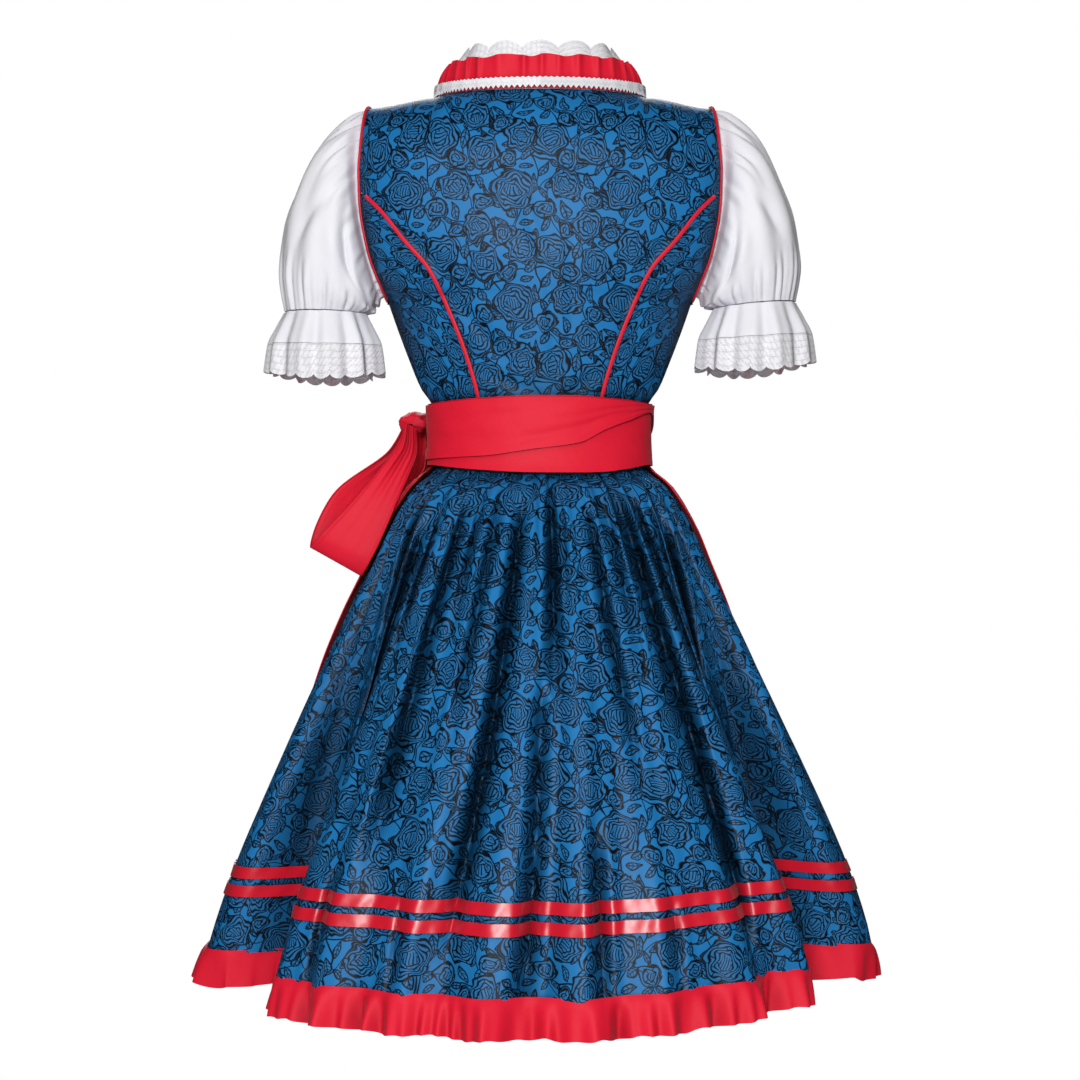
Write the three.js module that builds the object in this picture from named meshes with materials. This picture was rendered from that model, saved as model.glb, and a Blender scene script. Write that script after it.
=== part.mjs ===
// A dirndl as it hangs when it is worn: a fitted bodice over a puff-sleeved blouse, a gathered skirt
// with two ribbons and a hem ruffle, and an apron whose ties wrap the waist and end in a bow.
// Millimetres. +Z is up, the wearer faces -Y and the wearer's left is +X. The origin lies midway
// between the shoulders, at the height of the shoulder points. Every cloth piece is a thin wall.
import * as THREE from "three";

// Cloth thicknesses, and the gap that parts two pieces at a seam
const CLOTH = 1.5;
const LIGHT_CLOTH = 1.1;
const SEAM_GAP = 0.3;

// Heights of the seams and edges
const WAIST_Z = -372;
const YOKE_Z = -75;
const SHOULDER_Z = -4;
const NECK_Z = 7;
const HEM_SEAM_Z = -933;
const HEM_Z = -970;
const APRON_HEM_Z = -888;
const BLOUSE_HEM_Z = -258;

// Half widths at the top of the bodice, and the length of cloth that turns over the shoulder
const SHOULDER_X = 188;
const NECK_X = 113;
const NECK_DEPTH = 66;
const YOKE_ARC = 85;
const FRONT_NECK_DROP = 50;

// How far the back has turned over where it reaches the nape; at the shoulder it lies level
const NAPE_BEND = 0.9;

// The armhole is an upright oval; its binding covers the raw edge
const ARMHOLE = { z: -108, halfHeight: 106, halfDepth: 42, power: 2.4 };
const BINDING = { halfWidth: 2.9, halfThickness: 1.5, edgeGap: 3.8 };

// Cross-sections of the bodice: half width at the side seam, depth of the back and of the front
const BODY = [
  { z: -372, half: 112, back: 70, front: 80 },
  { z: -350, half: 114, back: 71, front: 81 },
  { z: -330, half: 118.5, back: 73, front: 84 },
  { z: -313, half: 130, back: 76, front: 91 },
  { z: -280, half: 144, back: 82, front: 107 },
  { z: -247, half: 156.5, back: 88, front: 120 },
  { z: -214, half: 168, back: 93, front: 122 },
  { z: -165, half: 186, back: 98, front: 111 },
  { z: -110, half: 195, back: 99, front: 96 },
  { z: -75, half: 196, back: 96, front: 87 },
];

// Where the princess seams run, as a distance from the centre line at each height
const PRINCESS = [
  { z: -372, back: 59, front: 56 },
  { z: -325, back: 66, front: 64 },
  { z: -285, back: 77, front: 80 },
  { z: -237, back: 95, front: 98 },
  { z: -189, back: 118, front: 120 },
  { z: -157, back: 145, front: 144 },
  { z: -125, back: 170, front: 169 },
  { z: -100, back: 195, front: 195 },
];

// The skirt's outline without its folds
const SKIRT = [
  { z: -990, half: 386, back: 322, front: 306 },
  { z: -933, half: 370, back: 308, front: 292 },
  { z: -838, half: 337, back: 284, front: 270 },
  { z: -720, half: 286, back: 243, front: 232 },
  { z: -610, half: 235, back: 196, front: 191 },
  { z: -511, half: 188, back: 150, front: 150 },
  { z: -445, half: 156, back: 118, front: 122 },
  { z: -420, half: 139, back: 99, front: 107 },
  { z: -408, half: 124, back: 82, front: 92 },
  { z: -398, half: 115.5, back: 77, front: 86 },
  { z: -372, half: 112, back: 70, front: 80 },
];

// The skirt's long folds: troughs at an angle in degrees from the centre back, positive to the
// wearer's left, with a depth as a share of the radius, a half width in degrees and a height
// at which they begin
const FOLDS = [
  { waist: 58, hem: 65, depth: 0.28, spread: 19, start: -470 },
  { waist: 40, hem: 43, depth: 0.03, spread: 8, start: -400 },
  { waist: 28, hem: 30, depth: 0.05, spread: 9, start: -400 },
  { waist: 7, hem: 17, depth: 0.06, spread: 8, start: -400 },
  { waist: -9, hem: 1, depth: 0.06, spread: 8, start: -400 },
  { waist: -17, hem: -14, depth: 0.035, spread: 7, start: -400 },
  { waist: -24, hem: -27, depth: 0.035, spread: 7, start: -400 },
  { waist: -30, hem: -42, depth: 0.055, spread: 8, start: -400 },
  { waist: -56, hem: -67, depth: 0.32, spread: 20, start: -430 },
  { waist: 100, hem: 105, depth: 0.09, spread: 11, start: -430 },
  { waist: -100, hem: -106, depth: 0.1, spread: 11, start: -430 },
  { waist: 126, hem: 129, depth: 0.13, spread: 14, start: -420 },
  { waist: -124, hem: -130, depth: 0.12, spread: 13, start: -420 },
  { waist: 152, hem: 154, depth: 0.1, spread: 12, start: -430 },
  { waist: -150, hem: -155, depth: 0.11, spread: 12, start: -430 },
  { waist: 178, hem: 179, depth: 0.1, spread: 12, start: -440 },
];

// How deep the gathers under the waist are at each height
const GATHER_COUNT = 36;
const GATHERS = [
  { z: -720, deep: 0 },
  { z: -610, deep: 2 },
  { z: -511, deep: 5 },
  { z: -445, deep: 8 },
  { z: -420, deep: 7 },
  { z: -398, deep: 4 },
  { z: -372, deep: 3 },
];

// How far the skirt's hem is lifted at both sides, and further towards the right of the back
const SIDE_LIFT = 10;
const RIGHT_LIFT = { angle: -54, spread: 50, high: 10 };

// How much narrower the hem seam is at both sides than the table of rows; the ruffle is drawn in further
const HEM_DRAWN_IN = { left: 2, right: 5 };

// The two deep side folds of the back run further forwards, under the middle part of the skirt
const TROUGHS = [
  { waist: 62, hem: 68, spread: 12, deep: 52 },
  { waist: -60, hem: -71, spread: 12, deep: 56 },
];

// How far the apron's lower part hangs out from the skirt
const APRON_EASE = 6;

// The two satin ribbons above the hem
const RIBBON_ROWS = { top: -836, bottom: -875 };
const RIBBONS = [
  { name: "ribbon_upper", top: -839, bottom: -851.5 },
  { name: "ribbon_lower", top: -859, bottom: -871.5 },
];

// The apron's side edges, in degrees round from the centre back
const APRON_EDGES = [
  { z: -888, left: 114, right: -118 },
  { z: -720, left: 102, right: -108 },
  { z: -555, left: 91, right: -97 },
  { z: -447, left: 84, right: -89 },
  { z: -372, left: 80, right: -84 },
];

// Inner face of the ties round the waist
const SASH = [
  { z: -406, half: 124.5, back: 85.6, front: 99 },
  { z: -396, half: 123, back: 82.8, front: 95.8 },
  { z: -365, half: 121.5, back: 80.3, front: 92 },
  { z: -332, half: 122, back: 80.5, front: 92.5 },
  { z: -320, half: 123.5, back: 81.5, front: 94 },
];

// Upper and lower edge of the ties, and the lower edge of the tie that is laid over the other
const SASH_EDGES = [
  { angle: -180, top: -327, bottom: -399, over: -388 },
  { angle: -110, top: -328, bottom: -397, over: -368 },
  { angle: -75, top: -329, bottom: -396, over: -339 },
  { angle: -47, top: -326, bottom: -402, over: -351 },
  { angle: -34, top: -325, bottom: -405, over: -360 },
  { angle: -19.5, top: -323, bottom: -406, over: -374 },
  { angle: 3.5, top: -323, bottom: -406, over: -381 },
  { angle: 30, top: -325, bottom: -403, over: -388 },
  { angle: 80, top: -329, bottom: -396, over: -390 },
  { angle: 180, top: -327, bottom: -399, over: -388 },
];

// The left sleeve, ring by ring from the armhole: outermost and innermost point, half depth, how far
// the ring bows out between them, and the depth of its gathers
const SLEEVE = [
  { along: 0, outX: 184, outZ: -8.5, inX: 169, inZ: -208, deep: 37.6, bow: 15, gather: 0 },
  { along: 0.07, outX: 193, outZ: -10, inX: 176, inZ: -211, deep: 38.5, bow: 14.5, gather: 0.4 },
  { along: 0.2, outX: 210, outZ: -19.5, inX: 178, inZ: -216, deep: 54, bow: 12, gather: 3 },
  { along: 0.36, outX: 238, outZ: -43, inX: 180, inZ: -220, deep: 65, bow: 8, gather: 2 },
  { along: 0.54, outX: 262, outZ: -87, inX: 182, inZ: -222.5, deep: 69, bow: 4, gather: 0.5 },
  { along: 0.72, outX: 279, outZ: -136, inX: 182, inZ: -225, deep: 66, bow: 0, gather: 1 },
  { along: 0.88, outX: 284, outZ: -185, inX: 183, inZ: -227, deep: 59, bow: 0, gather: 3 },
  { along: 1, outX: 279, outZ: -227, inX: 191, inZ: -229, deep: 48, bow: 0, gather: 1.5 },
];
const SLEEVE_GATHERS = 10;

// How much higher the right sleeve's elastic and flounce sit than the left ones
const RIGHT_CUFF_LIFT = 11;

// The sleeve's flounce below its gather line, and the lace that ends it
const CUFF = { x: 235, half: 43.5, deep: 48, waves: 11, scallops: 22, scallopDrop: 5, rise: 8 };
const CUFF_ROWS = { gather: -228.6, lace: -266, hem: -300 };
const CUFF_FLARE = [
  { z: -306, grow: 20, wave: 5 },
  { z: -266, grow: 16, wave: 4 },
  { z: -246, grow: 8, wave: 3 },
  { z: -228, grow: 0, wave: 1.2 },
];

// What stands on the neck seam: heights over the seam, distance out from it, and wave depth
const NECK_PLEATS = 40;
const NECK_SCALLOPS = 22;
const NECK_TRIM = { low: 0.5, high: 13, out: 2.6, thick: 1.1, wave: 0.25 };
const NECK_RUFFLE = { low: 0.5, high: 37, out: 0, thick: 1.1, wave: 3.2 };
const NECK_LACE = { low: 0.5, high: 54, out: -2.6, lean: -6.5, thick: 1, drop: 8 };

const HEM_WAVES = 40;
const HEM_RUFFLE = [
  { z: -970, wave: 6 },
  { z: -950, wave: 3.6 },
  { z: -933, wave: 1.2 },
];

// The bow: a band for its knot, and loops read from a table of reach along the loop, half width,
// shift across and distance between the layers
const KNOT = { x: 139.1, y: -30.8, z: -347, radius: 13.5, half: 13, thick: 2 };
const LOOP = [
  { turn: 0, reach: 1, half: 7, shift: 0, layer: 3 },
  { turn: 0.12, reach: 34, half: 12, shift: -12, layer: 12 },
  { turn: 0.3, reach: 104, half: 22, shift: -11, layer: 20 },
  { turn: 0.42, reach: 154, half: 30, shift: -7, layer: 16 },
  { turn: 0.5, reach: 174, half: 32, shift: -4, layer: 4 },
  { turn: 0.58, reach: 158, half: 31, shift: 3, layer: -7 },
  { turn: 0.7, reach: 108, half: 24, shift: 12, layer: -10 },
  { turn: 0.88, reach: 36, half: 11, shift: -4, layer: -6 },
  { turn: 1, reach: 1, half: 7, shift: 0, layer: -3 },
];

// The bow's tails hang over the apron: angle, half width and distance out from the skirt
const TAILS = [
  { name: "bow_tail_long", low: -730, top: 110, middle: 112, end: 116 },
  { name: "bow_tail_short", low: -660, top: 124, middle: 134, end: 141 },
];
const TAIL = [
  { z: -740, half: 31, out: 6.7, bend: 1 },
  { z: -560, half: 27, out: 6.7, bend: 0.7 },
  { z: -430, half: 19, out: 8.4, bend: 0.3 },
  { z: -398, half: 12, out: 15.5, bend: 0.12 },
  { z: -368, half: 8, out: 18, bend: 0 },
];

// Colours and finishes
const finish = (color, roughness) => new THREE.MeshStandardMaterial({ color, roughness, metalness: 0 });
const PRINT = finish(0x1f4f80, 0.45);
const RED = finish(0xd8202f, 0.6);
const SATIN = finish(0xd11a2c, 0.3);
const WHITE = finish(0xf1f0f4, 0.75);
const LACE = finish(0xf4f3f6, 0.8);

const { lerp, smoothstep, degToRad } = THREE.MathUtils;
const HALF_TURN = Math.PI / 2;
const dress = new THREE.Group();
const vec = (x, y, z) => new THREE.Vector3(x, y, z);

// n equal steps from one value to another, both ends included
function steps(n, from = 0, to = 1) {
  return Array.from({ length: n + 1 }, (_, i) => lerp(from, to, i / n));
}

// Reads a column of a table as a smooth curve that never overshoots its rows
function curve(table, along, key) {
  const x = table.map((row) => row[along]);
  const y = table.map((row) => row[key]);
  const last = x.length - 1;
  const rise = x.slice(1).map((value, i) => (y[i + 1] - y[i]) / (value - x[i]));
  const slope = y.map((_, i) => {
    if (i === 0) return rise[0];
    if (i === last) return rise[last - 1];
    return rise[i - 1] * rise[i] <= 0 ? 0 : 2 / (1 / rise[i - 1] + 1 / rise[i]);
  });
  return (at) => {
    let i = 0;
    while (i < last - 1 && at > x[i + 1]) i += 1;
    const width = x[i + 1] - x[i];
    const t = Math.min(1, Math.max(0, (at - x[i]) / width));
    const a = (1 + 2 * t) * (1 - t) ** 2;
    const b = t * (1 - t) ** 2;
    const c = t * t * (3 - 2 * t);
    const d = t * t * (t - 1);
    return a * y[i] + b * width * slope[i] + c * y[i + 1] + d * width * slope[i + 1];
  };
}

const bodyHalf = curve(BODY, "z", "half");
const bodyDepth = { 1: curve(BODY, "z", "back"), [-1]: curve(BODY, "z", "front") };
const princessX = { 1: curve(PRINCESS, "z", "back"), [-1]: curve(PRINCESS, "z", "front") };
const skirtHalf = curve(SKIRT, "z", "half");
const skirtBack = curve(SKIRT, "z", "back");
const skirtFront = curve(SKIRT, "z", "front");
const gatherDepth = curve(GATHERS, "z", "deep");
const apronLeft = curve(APRON_EDGES, "z", "left");
const apronRight = curve(APRON_EDGES, "z", "right");
const sashHalf = curve(SASH, "z", "half");
const sashBack = curve(SASH, "z", "back");
const sashFront = curve(SASH, "z", "front");
const sashTop = curve(SASH_EDGES, "angle", "top");
const sashBottom = curve(SASH_EDGES, "angle", "bottom");
const overTieEdge = curve(SASH_EDGES, "angle", "over");
const cuffGrow = curve(CUFF_FLARE, "z", "grow");
const cuffWave = curve(CUFF_FLARE, "z", "wave");
const hemWave = curve(HEM_RUFFLE, "z", "wave");
const readRow = (table, along) => {
  const keys = Object.keys(table[0]).filter((key) => key !== along);
  const curves = keys.map((key) => curve(table, along, key));
  return (at) => Object.fromEntries(keys.map((key, i) => [key, curves[i](at)]));
};
const sleeveRow = readRow(SLEEVE, "along");
const loopRow = readRow(LOOP, "turn");
const tailRow = readRow(TAIL, "z");

// Geometry from points and triangles, with its faces turned outwards
function solid(points, faces) {
  const position = points.flatMap((p) => [p.x, p.y, p.z]);
  let volume = 0;
  for (const [a, b, c] of faces) volume += points[a].dot(points[b].clone().cross(points[c]));
  const index = faces.flatMap(([a, b, c]) => (volume > 0 ? [a, b, c] : [a, c, b]));
  const geometry = new THREE.BufferGeometry();
  geometry.setAttribute("position", new THREE.Float32BufferAttribute(position, 3));
  geometry.setIndex(index);
  geometry.computeVertexNormals();
  return geometry;
}

// Points of a surface on a grid, and the outward normal at each point, worked out from its neighbours
// unless a function gives it. The step past an edge is as long as the one before it.
function gridOf(surface, us, vs, centre, normal) {
  const before = (list, i) => (i > 0 ? list[i - 1] : 2 * list[0] - list[1]);
  const after = (list, i) => (i < list.length - 1 ? list[i + 1] : 2 * list[i] - list[i - 1]);
  const points = vs.map((v) => us.map((u) => surface(u, v)));
  const normals = vs.map((v, i) =>
    us.map((u, j) => {
      if (normal) return normal(u, v);
      const across = surface(after(us, j), v).sub(surface(before(us, j), v));
      const up = surface(u, after(vs, i)).sub(surface(u, before(vs, i)));
      return across.cross(up).normalize();
    }),
  );
  const i = Math.floor(vs.length / 2);
  const j = Math.floor(us.length / 3);
  const middle = centre ?? vec(0, 0, points[i][j].z);
  if (normals[i][j].dot(points[i][j].clone().sub(middle)) < 0) normals.flat().forEach((n) => n.negate());
  return { points, normals };
}

// A cloth wall between two offsets from a surface, measured outwards along its normals
function wall(surface, us, vs, { from, to, closed = false, centre = null, normal = null }) {
  const { points, normals } = gridOf(surface, us, vs, centre, normal);
  const columns = us.length;
  const rows = vs.length;
  const moved = (offset) => (p, i, j) => p.clone().addScaledVector(normals[i][j], offset);
  const face = (offset) => points.flatMap((row, i) => row.map((p, j) => moved(offset)(p, i, j)));
  const all = [...face(to), ...face(from)];
  const outer = (i, j) => i * columns + (j % columns);
  const inner = (i, j) => rows * columns + outer(i, j);
  const faces = [];
  const quad = (a, b, c, d) => faces.push([a, b, c], [a, c, d]);
  const spans = closed ? columns : columns - 1;
  for (let j = 0; j < spans; j += 1) {
    for (let i = 0; i < rows - 1; i += 1) {
      quad(outer(i, j), outer(i, j + 1), outer(i + 1, j + 1), outer(i + 1, j));
      faces.push([inner(i, j), inner(i + 1, j + 1), inner(i, j + 1)]);
      faces.push([inner(i, j), inner(i + 1, j), inner(i + 1, j + 1)]);
    }
    quad(inner(0, j), inner(0, j + 1), outer(0, j + 1), outer(0, j));
    quad(outer(rows - 1, j), outer(rows - 1, j + 1), inner(rows - 1, j + 1), inner(rows - 1, j));
  }
  if (!closed) {
    const end = columns - 1;
    for (let i = 0; i < rows - 1; i += 1) {
      quad(outer(i, 0), outer(i + 1, 0), inner(i + 1, 0), inner(i, 0));
      quad(inner(i, end), inner(i + 1, end), outer(i + 1, end), outer(i, end));
    }
  }
  return solid(all, faces);
}

// A strip whose section, a list of [across, out] corners, is carried along frames of point, across and out
function strip(frames, section, closed = false) {
  const corners = section.length;
  const points = frames.flatMap(({ point, across, out }) =>
    section.map(([a, o]) => point.clone().addScaledVector(across, a).addScaledVector(out, o)),
  );
  const faces = [];
  const spans = closed ? frames.length : frames.length - 1;
  for (let i = 0; i < spans; i += 1) {
    const next = (i + 1) % frames.length;
    for (let k = 0; k < corners; k += 1) {
      const l = (k + 1) % corners;
      faces.push([i * corners + k, i * corners + l, next * corners + l]);
      faces.push([i * corners + k, next * corners + l, next * corners + k]);
    }
  }
  if (!closed) {
    const tail = (frames.length - 1) * corners;
    for (let k = 1; k < corners - 1; k += 1) {
      faces.push([0, k + 1, k]);
      faces.push([tail, tail + k, tail + k + 1]);
    }
  }
  return solid(points, faces);
}

function add(name, geometry, material) {
  const mesh = new THREE.Mesh(geometry, material);
  mesh.name = name;
  dress.add(mesh);
}

// The same surface on the wearer's other side
const mirrored = (surface, sign) => (u, v) => {
  const p = surface(u, v);
  return vec(sign * p.x, p.y, p.z);
};

// Half depth of the armhole at a height, or of the same oval grown by a margin
function armholeDepth(z, margin = 0) {
  const reach = Math.abs(z - ARMHOLE.z) / (ARMHOLE.halfHeight + margin);
  if (reach >= 1) return 0;
  return (ARMHOLE.halfDepth + margin) * (1 - reach ** ARMHOLE.power) ** (1 / ARMHOLE.power);
}

// The bodice surface. side is 1 at the back and -1 at the front; a runs from 0 on the centre line to 1 at the
// side seam or armhole; h is the height over the yoke line, or the length of cloth over the shoulder.
function body(side, a, h) {
  const z = YOKE_Z + Math.min(h, 0);
  const across = Math.sin(a * HALF_TURN);
  const round = Math.cos(a * HALF_TURN);
  const edge = armholeDepth(z);
  const x = bodyHalf(z) * across;
  const y = edge + (bodyDepth[side](z) - edge) * round;
  if (h <= 0) return vec(x, side * (y + SEAM_GAP / 2), z);
  const over = h / YOKE_ARC;
  const topX = SHOULDER_X * across;
  const topY = side > 0 ? NECK_DEPTH * Math.sqrt(Math.max(0, 1 - (topX / NECK_X) ** 2)) : 0;
  const topZ = lerp(NECK_Z, SHOULDER_Z, smoothstep(topX, NECK_X, SHOULDER_X));
  const bend = side > 0 ? lerp(NAPE_BEND, HALF_TURN, smoothstep(topX, NECK_X / 2, NECK_X)) : HALF_TURN;
  const level = (Math.cos(over * bend) - Math.cos(bend)) / (1 - Math.cos(bend));
  const rise = Math.sin(over * bend) / Math.sin(bend);
  return vec(lerp(x, topX, over), side * (lerp(topY, y, level) + SEAM_GAP / 2), lerp(YOKE_Z, topZ, rise));
}

// Where a panel ends beside the armhole: short of the oval by the binding's margin
const NECK_A = Math.asin(NECK_X / SHOULDER_X) / HALF_TURN;
function edgeA(side, h) {
  const z = YOKE_Z + Math.min(h, 0);
  const edge = armholeDepth(z);
  const share = (armholeDepth(z, BINDING.edgeGap) - edge) / (bodyDepth[side](z) - edge);
  const low = Math.acos(Math.min(1, share)) / HALF_TURN;
  if (h <= 0) return low;
  const high = Math.asin(1 - BINDING.edgeGap / SHOULDER_X) / HALF_TURN;
  return lerp(low, high, h / YOKE_ARC);
}

// Where the princess seam lies; above its meeting with the armhole the panel runs to its edge
const PRINCESS_TOP = -100;
function seamA(side, h) {
  const z = YOKE_Z + Math.min(h, 0);
  if (z > PRINCESS_TOP) return edgeA(side, h);
  return Math.asin(Math.min(1, princessX[side](z) / bodyHalf(z))) / HALF_TURN;
}

// The front neckline: height of its edge at each place across, from the centre to the neck point
function frontNeck(a) {
  const share = Math.min(1, Math.abs(Math.sin(a * HALF_TURN)) / Math.sin(NECK_A * HALF_TURN));
  return lerp(-FRONT_NECK_DROP, YOKE_ARC, share ** 3.2);
}

// Rows of the panels, shared so that neighbours meet along their seams. A side panel's rows are set closer at
// the foot of the armhole.
const HALF_GAP = 0.0018;
const SEAM_ROWS = [-372, -342, -312, -282, -254, -228, -204, -180, -152, -125, -104].map((z) => z - YOKE_Z);
const EDGE_HEIGHTS = [-372, -322, -262, -217.9, -216.6, -212.5, -204, -188, -160, -128, -104];
const EDGE_ROWS = EDGE_HEIGHTS.map((z) => z - YOKE_Z);
const TOP_ROWS = [-100 - YOKE_Z, 0, 0.35 * YOKE_ARC, 0.7 * YOKE_ARC, YOKE_ARC];
const CENTRE_ROWS = [...SEAM_ROWS, ...TOP_ROWS];
const OUTWARD = { from: -CLOTH, to: 0 };

// Share of the neckline's width at each step round its front half, from the neck point to the centre
const neckShare = (t) => 1 - t ** 1.6;

// Height of the middle of the chest
const HEART_Z = -150;

// A wall on the bodice's surface, or on that surface drawn in towards the middle of the chest. place turns a
// column and a row into a place on the surface; a column below zero lies on the wearer's other side.
function bodyWall(facing, place, us, vs, offsets, sign = 1, shrink = 1) {
  const onSide = (u, p) => vec((u < 0 ? -sign : sign) * p.x, p.y, p.z);
  const heart = vec(0, 0, HEART_Z);
  const inwards = (p) => p.sub(heart).multiplyScalar(shrink).add(heart);
  const surface = (u, v) => onSide(u, inwards(body(facing, ...place(Math.abs(u), v))));
  const normal = (u, v) => onSide(u, bodyNormal(facing, ...place(Math.abs(u), v)));
  return wall(surface, us, vs, { ...offsets, normal });
}

function bodice() {
  const backCentre = (u, h) => [u * (seamA(1, h) - HALF_GAP), h];
  const neckU = NECK_A / edgeA(1, YOKE_ARC);
  const half = [0.22, neckU, 0.62, 0.8, 1];
  const backColumns = [...half.map((u) => -u).reverse(), 0, ...half];
  add("bodice_back", bodyWall(1, backCentre, backColumns, CENTRE_ROWS, OUTWARD), PRINT);

  // The front centre panels are cut to the neckline, so their rows close up towards it
  const lowest = CENTRE_ROWS[0];
  const frontCentre = (u, row) => {
    const top = frontNeck(u * edgeA(-1, YOKE_ARC));
    const h = lerp(lowest, top, (row - lowest) / (YOKE_ARC - lowest));
    return [u * (seamA(-1, h) - HALF_GAP), h];
  };
  const neckColumns = steps(6, 1, 0).map((t) => Math.max(0.006, neckShare(t) * neckU));
  const frontColumns = [...neckColumns, 0.62, 0.8, 1];
  const side = (facing) => (u, i) => {
    const h = lerp(rowAt(SEAM_ROWS, i), rowAt(EDGE_ROWS, i), u);
    return [lerp(seamA(facing, h) + HALF_GAP, edgeA(facing, h), u), h];
  };
  const sideRows = steps(SEAM_ROWS.length - 1, 0, SEAM_ROWS.length - 1);
  for (const [hand, sign] of [["left", 1], ["right", -1]]) {
    add(`bodice_front_${hand}`, bodyWall(-1, frontCentre, frontColumns, CENTRE_ROWS, OUTWARD, sign), PRINT);
    add(`bodice_side_back_${hand}`, bodyWall(1, side(1), steps(2), sideRows, OUTWARD, sign), PRINT);
    add(`bodice_side_front_${hand}`, bodyWall(-1, side(-1), steps(2), sideRows, OUTWARD, sign), PRINT);
  }
  const placketRow = (row) => {
    const share = (row - lowest) / (YOKE_ARC - lowest);
    return lerp(lowest + 0.5, -FRONT_NECK_DROP - 0.5, share);
  };
  const placket = bodyWall(-1, (u, h) => [u, h], [-0.068, 0, 0.068], CENTRE_ROWS.map(placketRow), {
    from: 0.5,
    to: 1.8,
  });
  add("front_placket", placket, PRINT);
}

// A list read between its entries, and beyond its ends by as much as the last step
function rowAt(list, at) {
  const i = Math.min(list.length - 2, Math.max(0, Math.floor(at)));
  return lerp(list[i], list[i + 1], at - i);
}

// Outward normal of the bodice at a place on it
function bodyNormal(side, a, h) {
  const e = 0.01;
  const across = body(side, a, h).sub(body(side, a - e, h));
  const up = body(side, a, h + 1).sub(body(side, a, h - 1));
  const n = across.cross(up).normalize();
  return side > 0 ? n.negate() : n;
}

// Frames for a strip along a line of points whose normals are known
function framesAlong(points, normals, closed) {
  const last = points.length - 1;
  return points.map((point, i) => {
    const next = closed ? points[(i + 1) % points.length] : points[Math.min(last, i + 1)];
    const previous = closed ? points[(i + last) % points.length] : points[Math.max(0, i - 1)];
    const along = next.clone().sub(previous).normalize();
    const across = along.clone().cross(normals[i]).normalize();
    return { point, across, out: across.clone().cross(along).normalize() };
  });
}

function piping() {
  const section = [[-2.1, 0.4], [2.1, 0.4], [1.3, 2.5], [-1.3, 2.5]];
  const rows = [...SEAM_ROWS.slice(0, -1), -108 - YOKE_Z];
  for (const [place, side] of [["back", 1], ["front", -1]]) {
    for (const [hand, sign] of [["left", 1], ["right", -1]]) {
      const flip = (p) => vec(sign * p.x, p.y, p.z);
      const points = rows.map((h) => flip(body(side, seamA(side, h), h)));
      const normals = rows.map((h) => flip(bodyNormal(side, seamA(side, h), h)));
      add(`piping_${place}_${hand}`, strip(framesAlong(points, normals, false), section), RED);
    }
  }
}

// The armhole's edge from its foot over the back to the shoulder, and down the front
function armhole() {
  const path = [];
  const top = YOKE_Z - ARMHOLE.z;
  const reach = (top / ARMHOLE.halfHeight) ** (ARMHOLE.power / 2);
  const crest = HALF_TURN + Math.asin(reach);
  for (const psi of steps(8, 0, crest)) {
    const rise = -Math.sign(Math.cos(psi)) * Math.abs(Math.cos(psi)) ** (2 / ARMHOLE.power);
    path.push(ARMHOLE.z + ARMHOLE.halfHeight * rise - YOKE_Z);
  }
  path.push(0.2 * YOKE_ARC, 0.42 * YOKE_ARC, 0.65 * YOKE_ARC, 0.85 * YOKE_ARC, YOKE_ARC);
  return path;
}

function bindings() {
  const heights = armhole();
  const back = heights.map((h) => [1, h]);
  const front = heights.slice(1, -1).map((h) => [-1, h]).reverse();
  const round = [...back, ...front];
  const w = BINDING.halfWidth;
  const t = BINDING.halfThickness;
  const section = [[-w, -t], [w, -t], [w, t], [-w, t]];
  for (const [hand, sign] of [["left", 1], ["right", -1]]) {
    const flip = (p) => vec(sign * p.x, p.y, p.z);
    const points = round.map(([side, h]) => flip(body(side, 1, h)));
    const normals = round.map(([side, h]) => flip(bodyNormal(side, 1, h)));
    add(`armhole_binding_${hand}`, strip(framesAlong(points, normals, true), section, true), RED);
  }
}

// The neck seam, once round from the centre back by the wearer's left
const BACK_SHARE = 0.21;
function neckSeam(u) {
  const turn = u - Math.floor(u);
  const left = turn < 0.5;
  const t = left ? turn : 1 - turn;
  let p;
  if (t < BACK_SHARE) {
    p = body(1, NECK_A * Math.sin((t / BACK_SHARE) * HALF_TURN), YOKE_ARC);
  } else {
    const a = NECK_A * neckShare((t - BACK_SHARE) / (0.5 - BACK_SHARE));
    p = body(-1, a, frontNeck(a));
  }
  return vec(left ? p.x : -p.x, p.y, p.z);
}

// How far the top of the lace leans inwards at the sides of the neck
const SIDE_LEAN = 34;

// A point on what stands on the neck seam: high over it, and out from it
function neckPoint(u, high, out) {
  const turn = u - Math.floor(u);
  const t = Math.min(turn, 1 - turn);
  const p = neckSeam(u);
  const along = neckSeam(u + 0.004).sub(neckSeam(u - 0.004)).normalize();
  const plan = vec(-along.y, along.x, 0).normalize();
  if (plan.dot(vec(p.x, p.y, 0)) < 0) plan.negate();
  const front = smoothstep(t, BACK_SHARE + 0.02, BACK_SHARE + 0.12);
  const chest = vec(Math.sign(p.x) * 0.15, -0.75, 0.55).normalize();
  const lean = plan.lerp(chest, 0.75 * front);
  const up = along.clone().cross(lean).normalize();
  if (up.z < 0) up.negate();
  const outward = up.clone().cross(along).normalize();
  if (outward.dot(lean) < 0) outward.negate();
  const base = 4.4 * front;
  const aside = Math.min(1, Math.abs(t - 0.2) / 0.15);
  const raised = Math.max(0, high / NECK_LACE.high) ** 2.5;
  const inwards = SIDE_LEAN * raised * (0.5 + 0.5 * Math.cos(Math.PI * aside));
  return p.addScaledVector(up, base + high).addScaledVector(outward, out - inwards);
}

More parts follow.
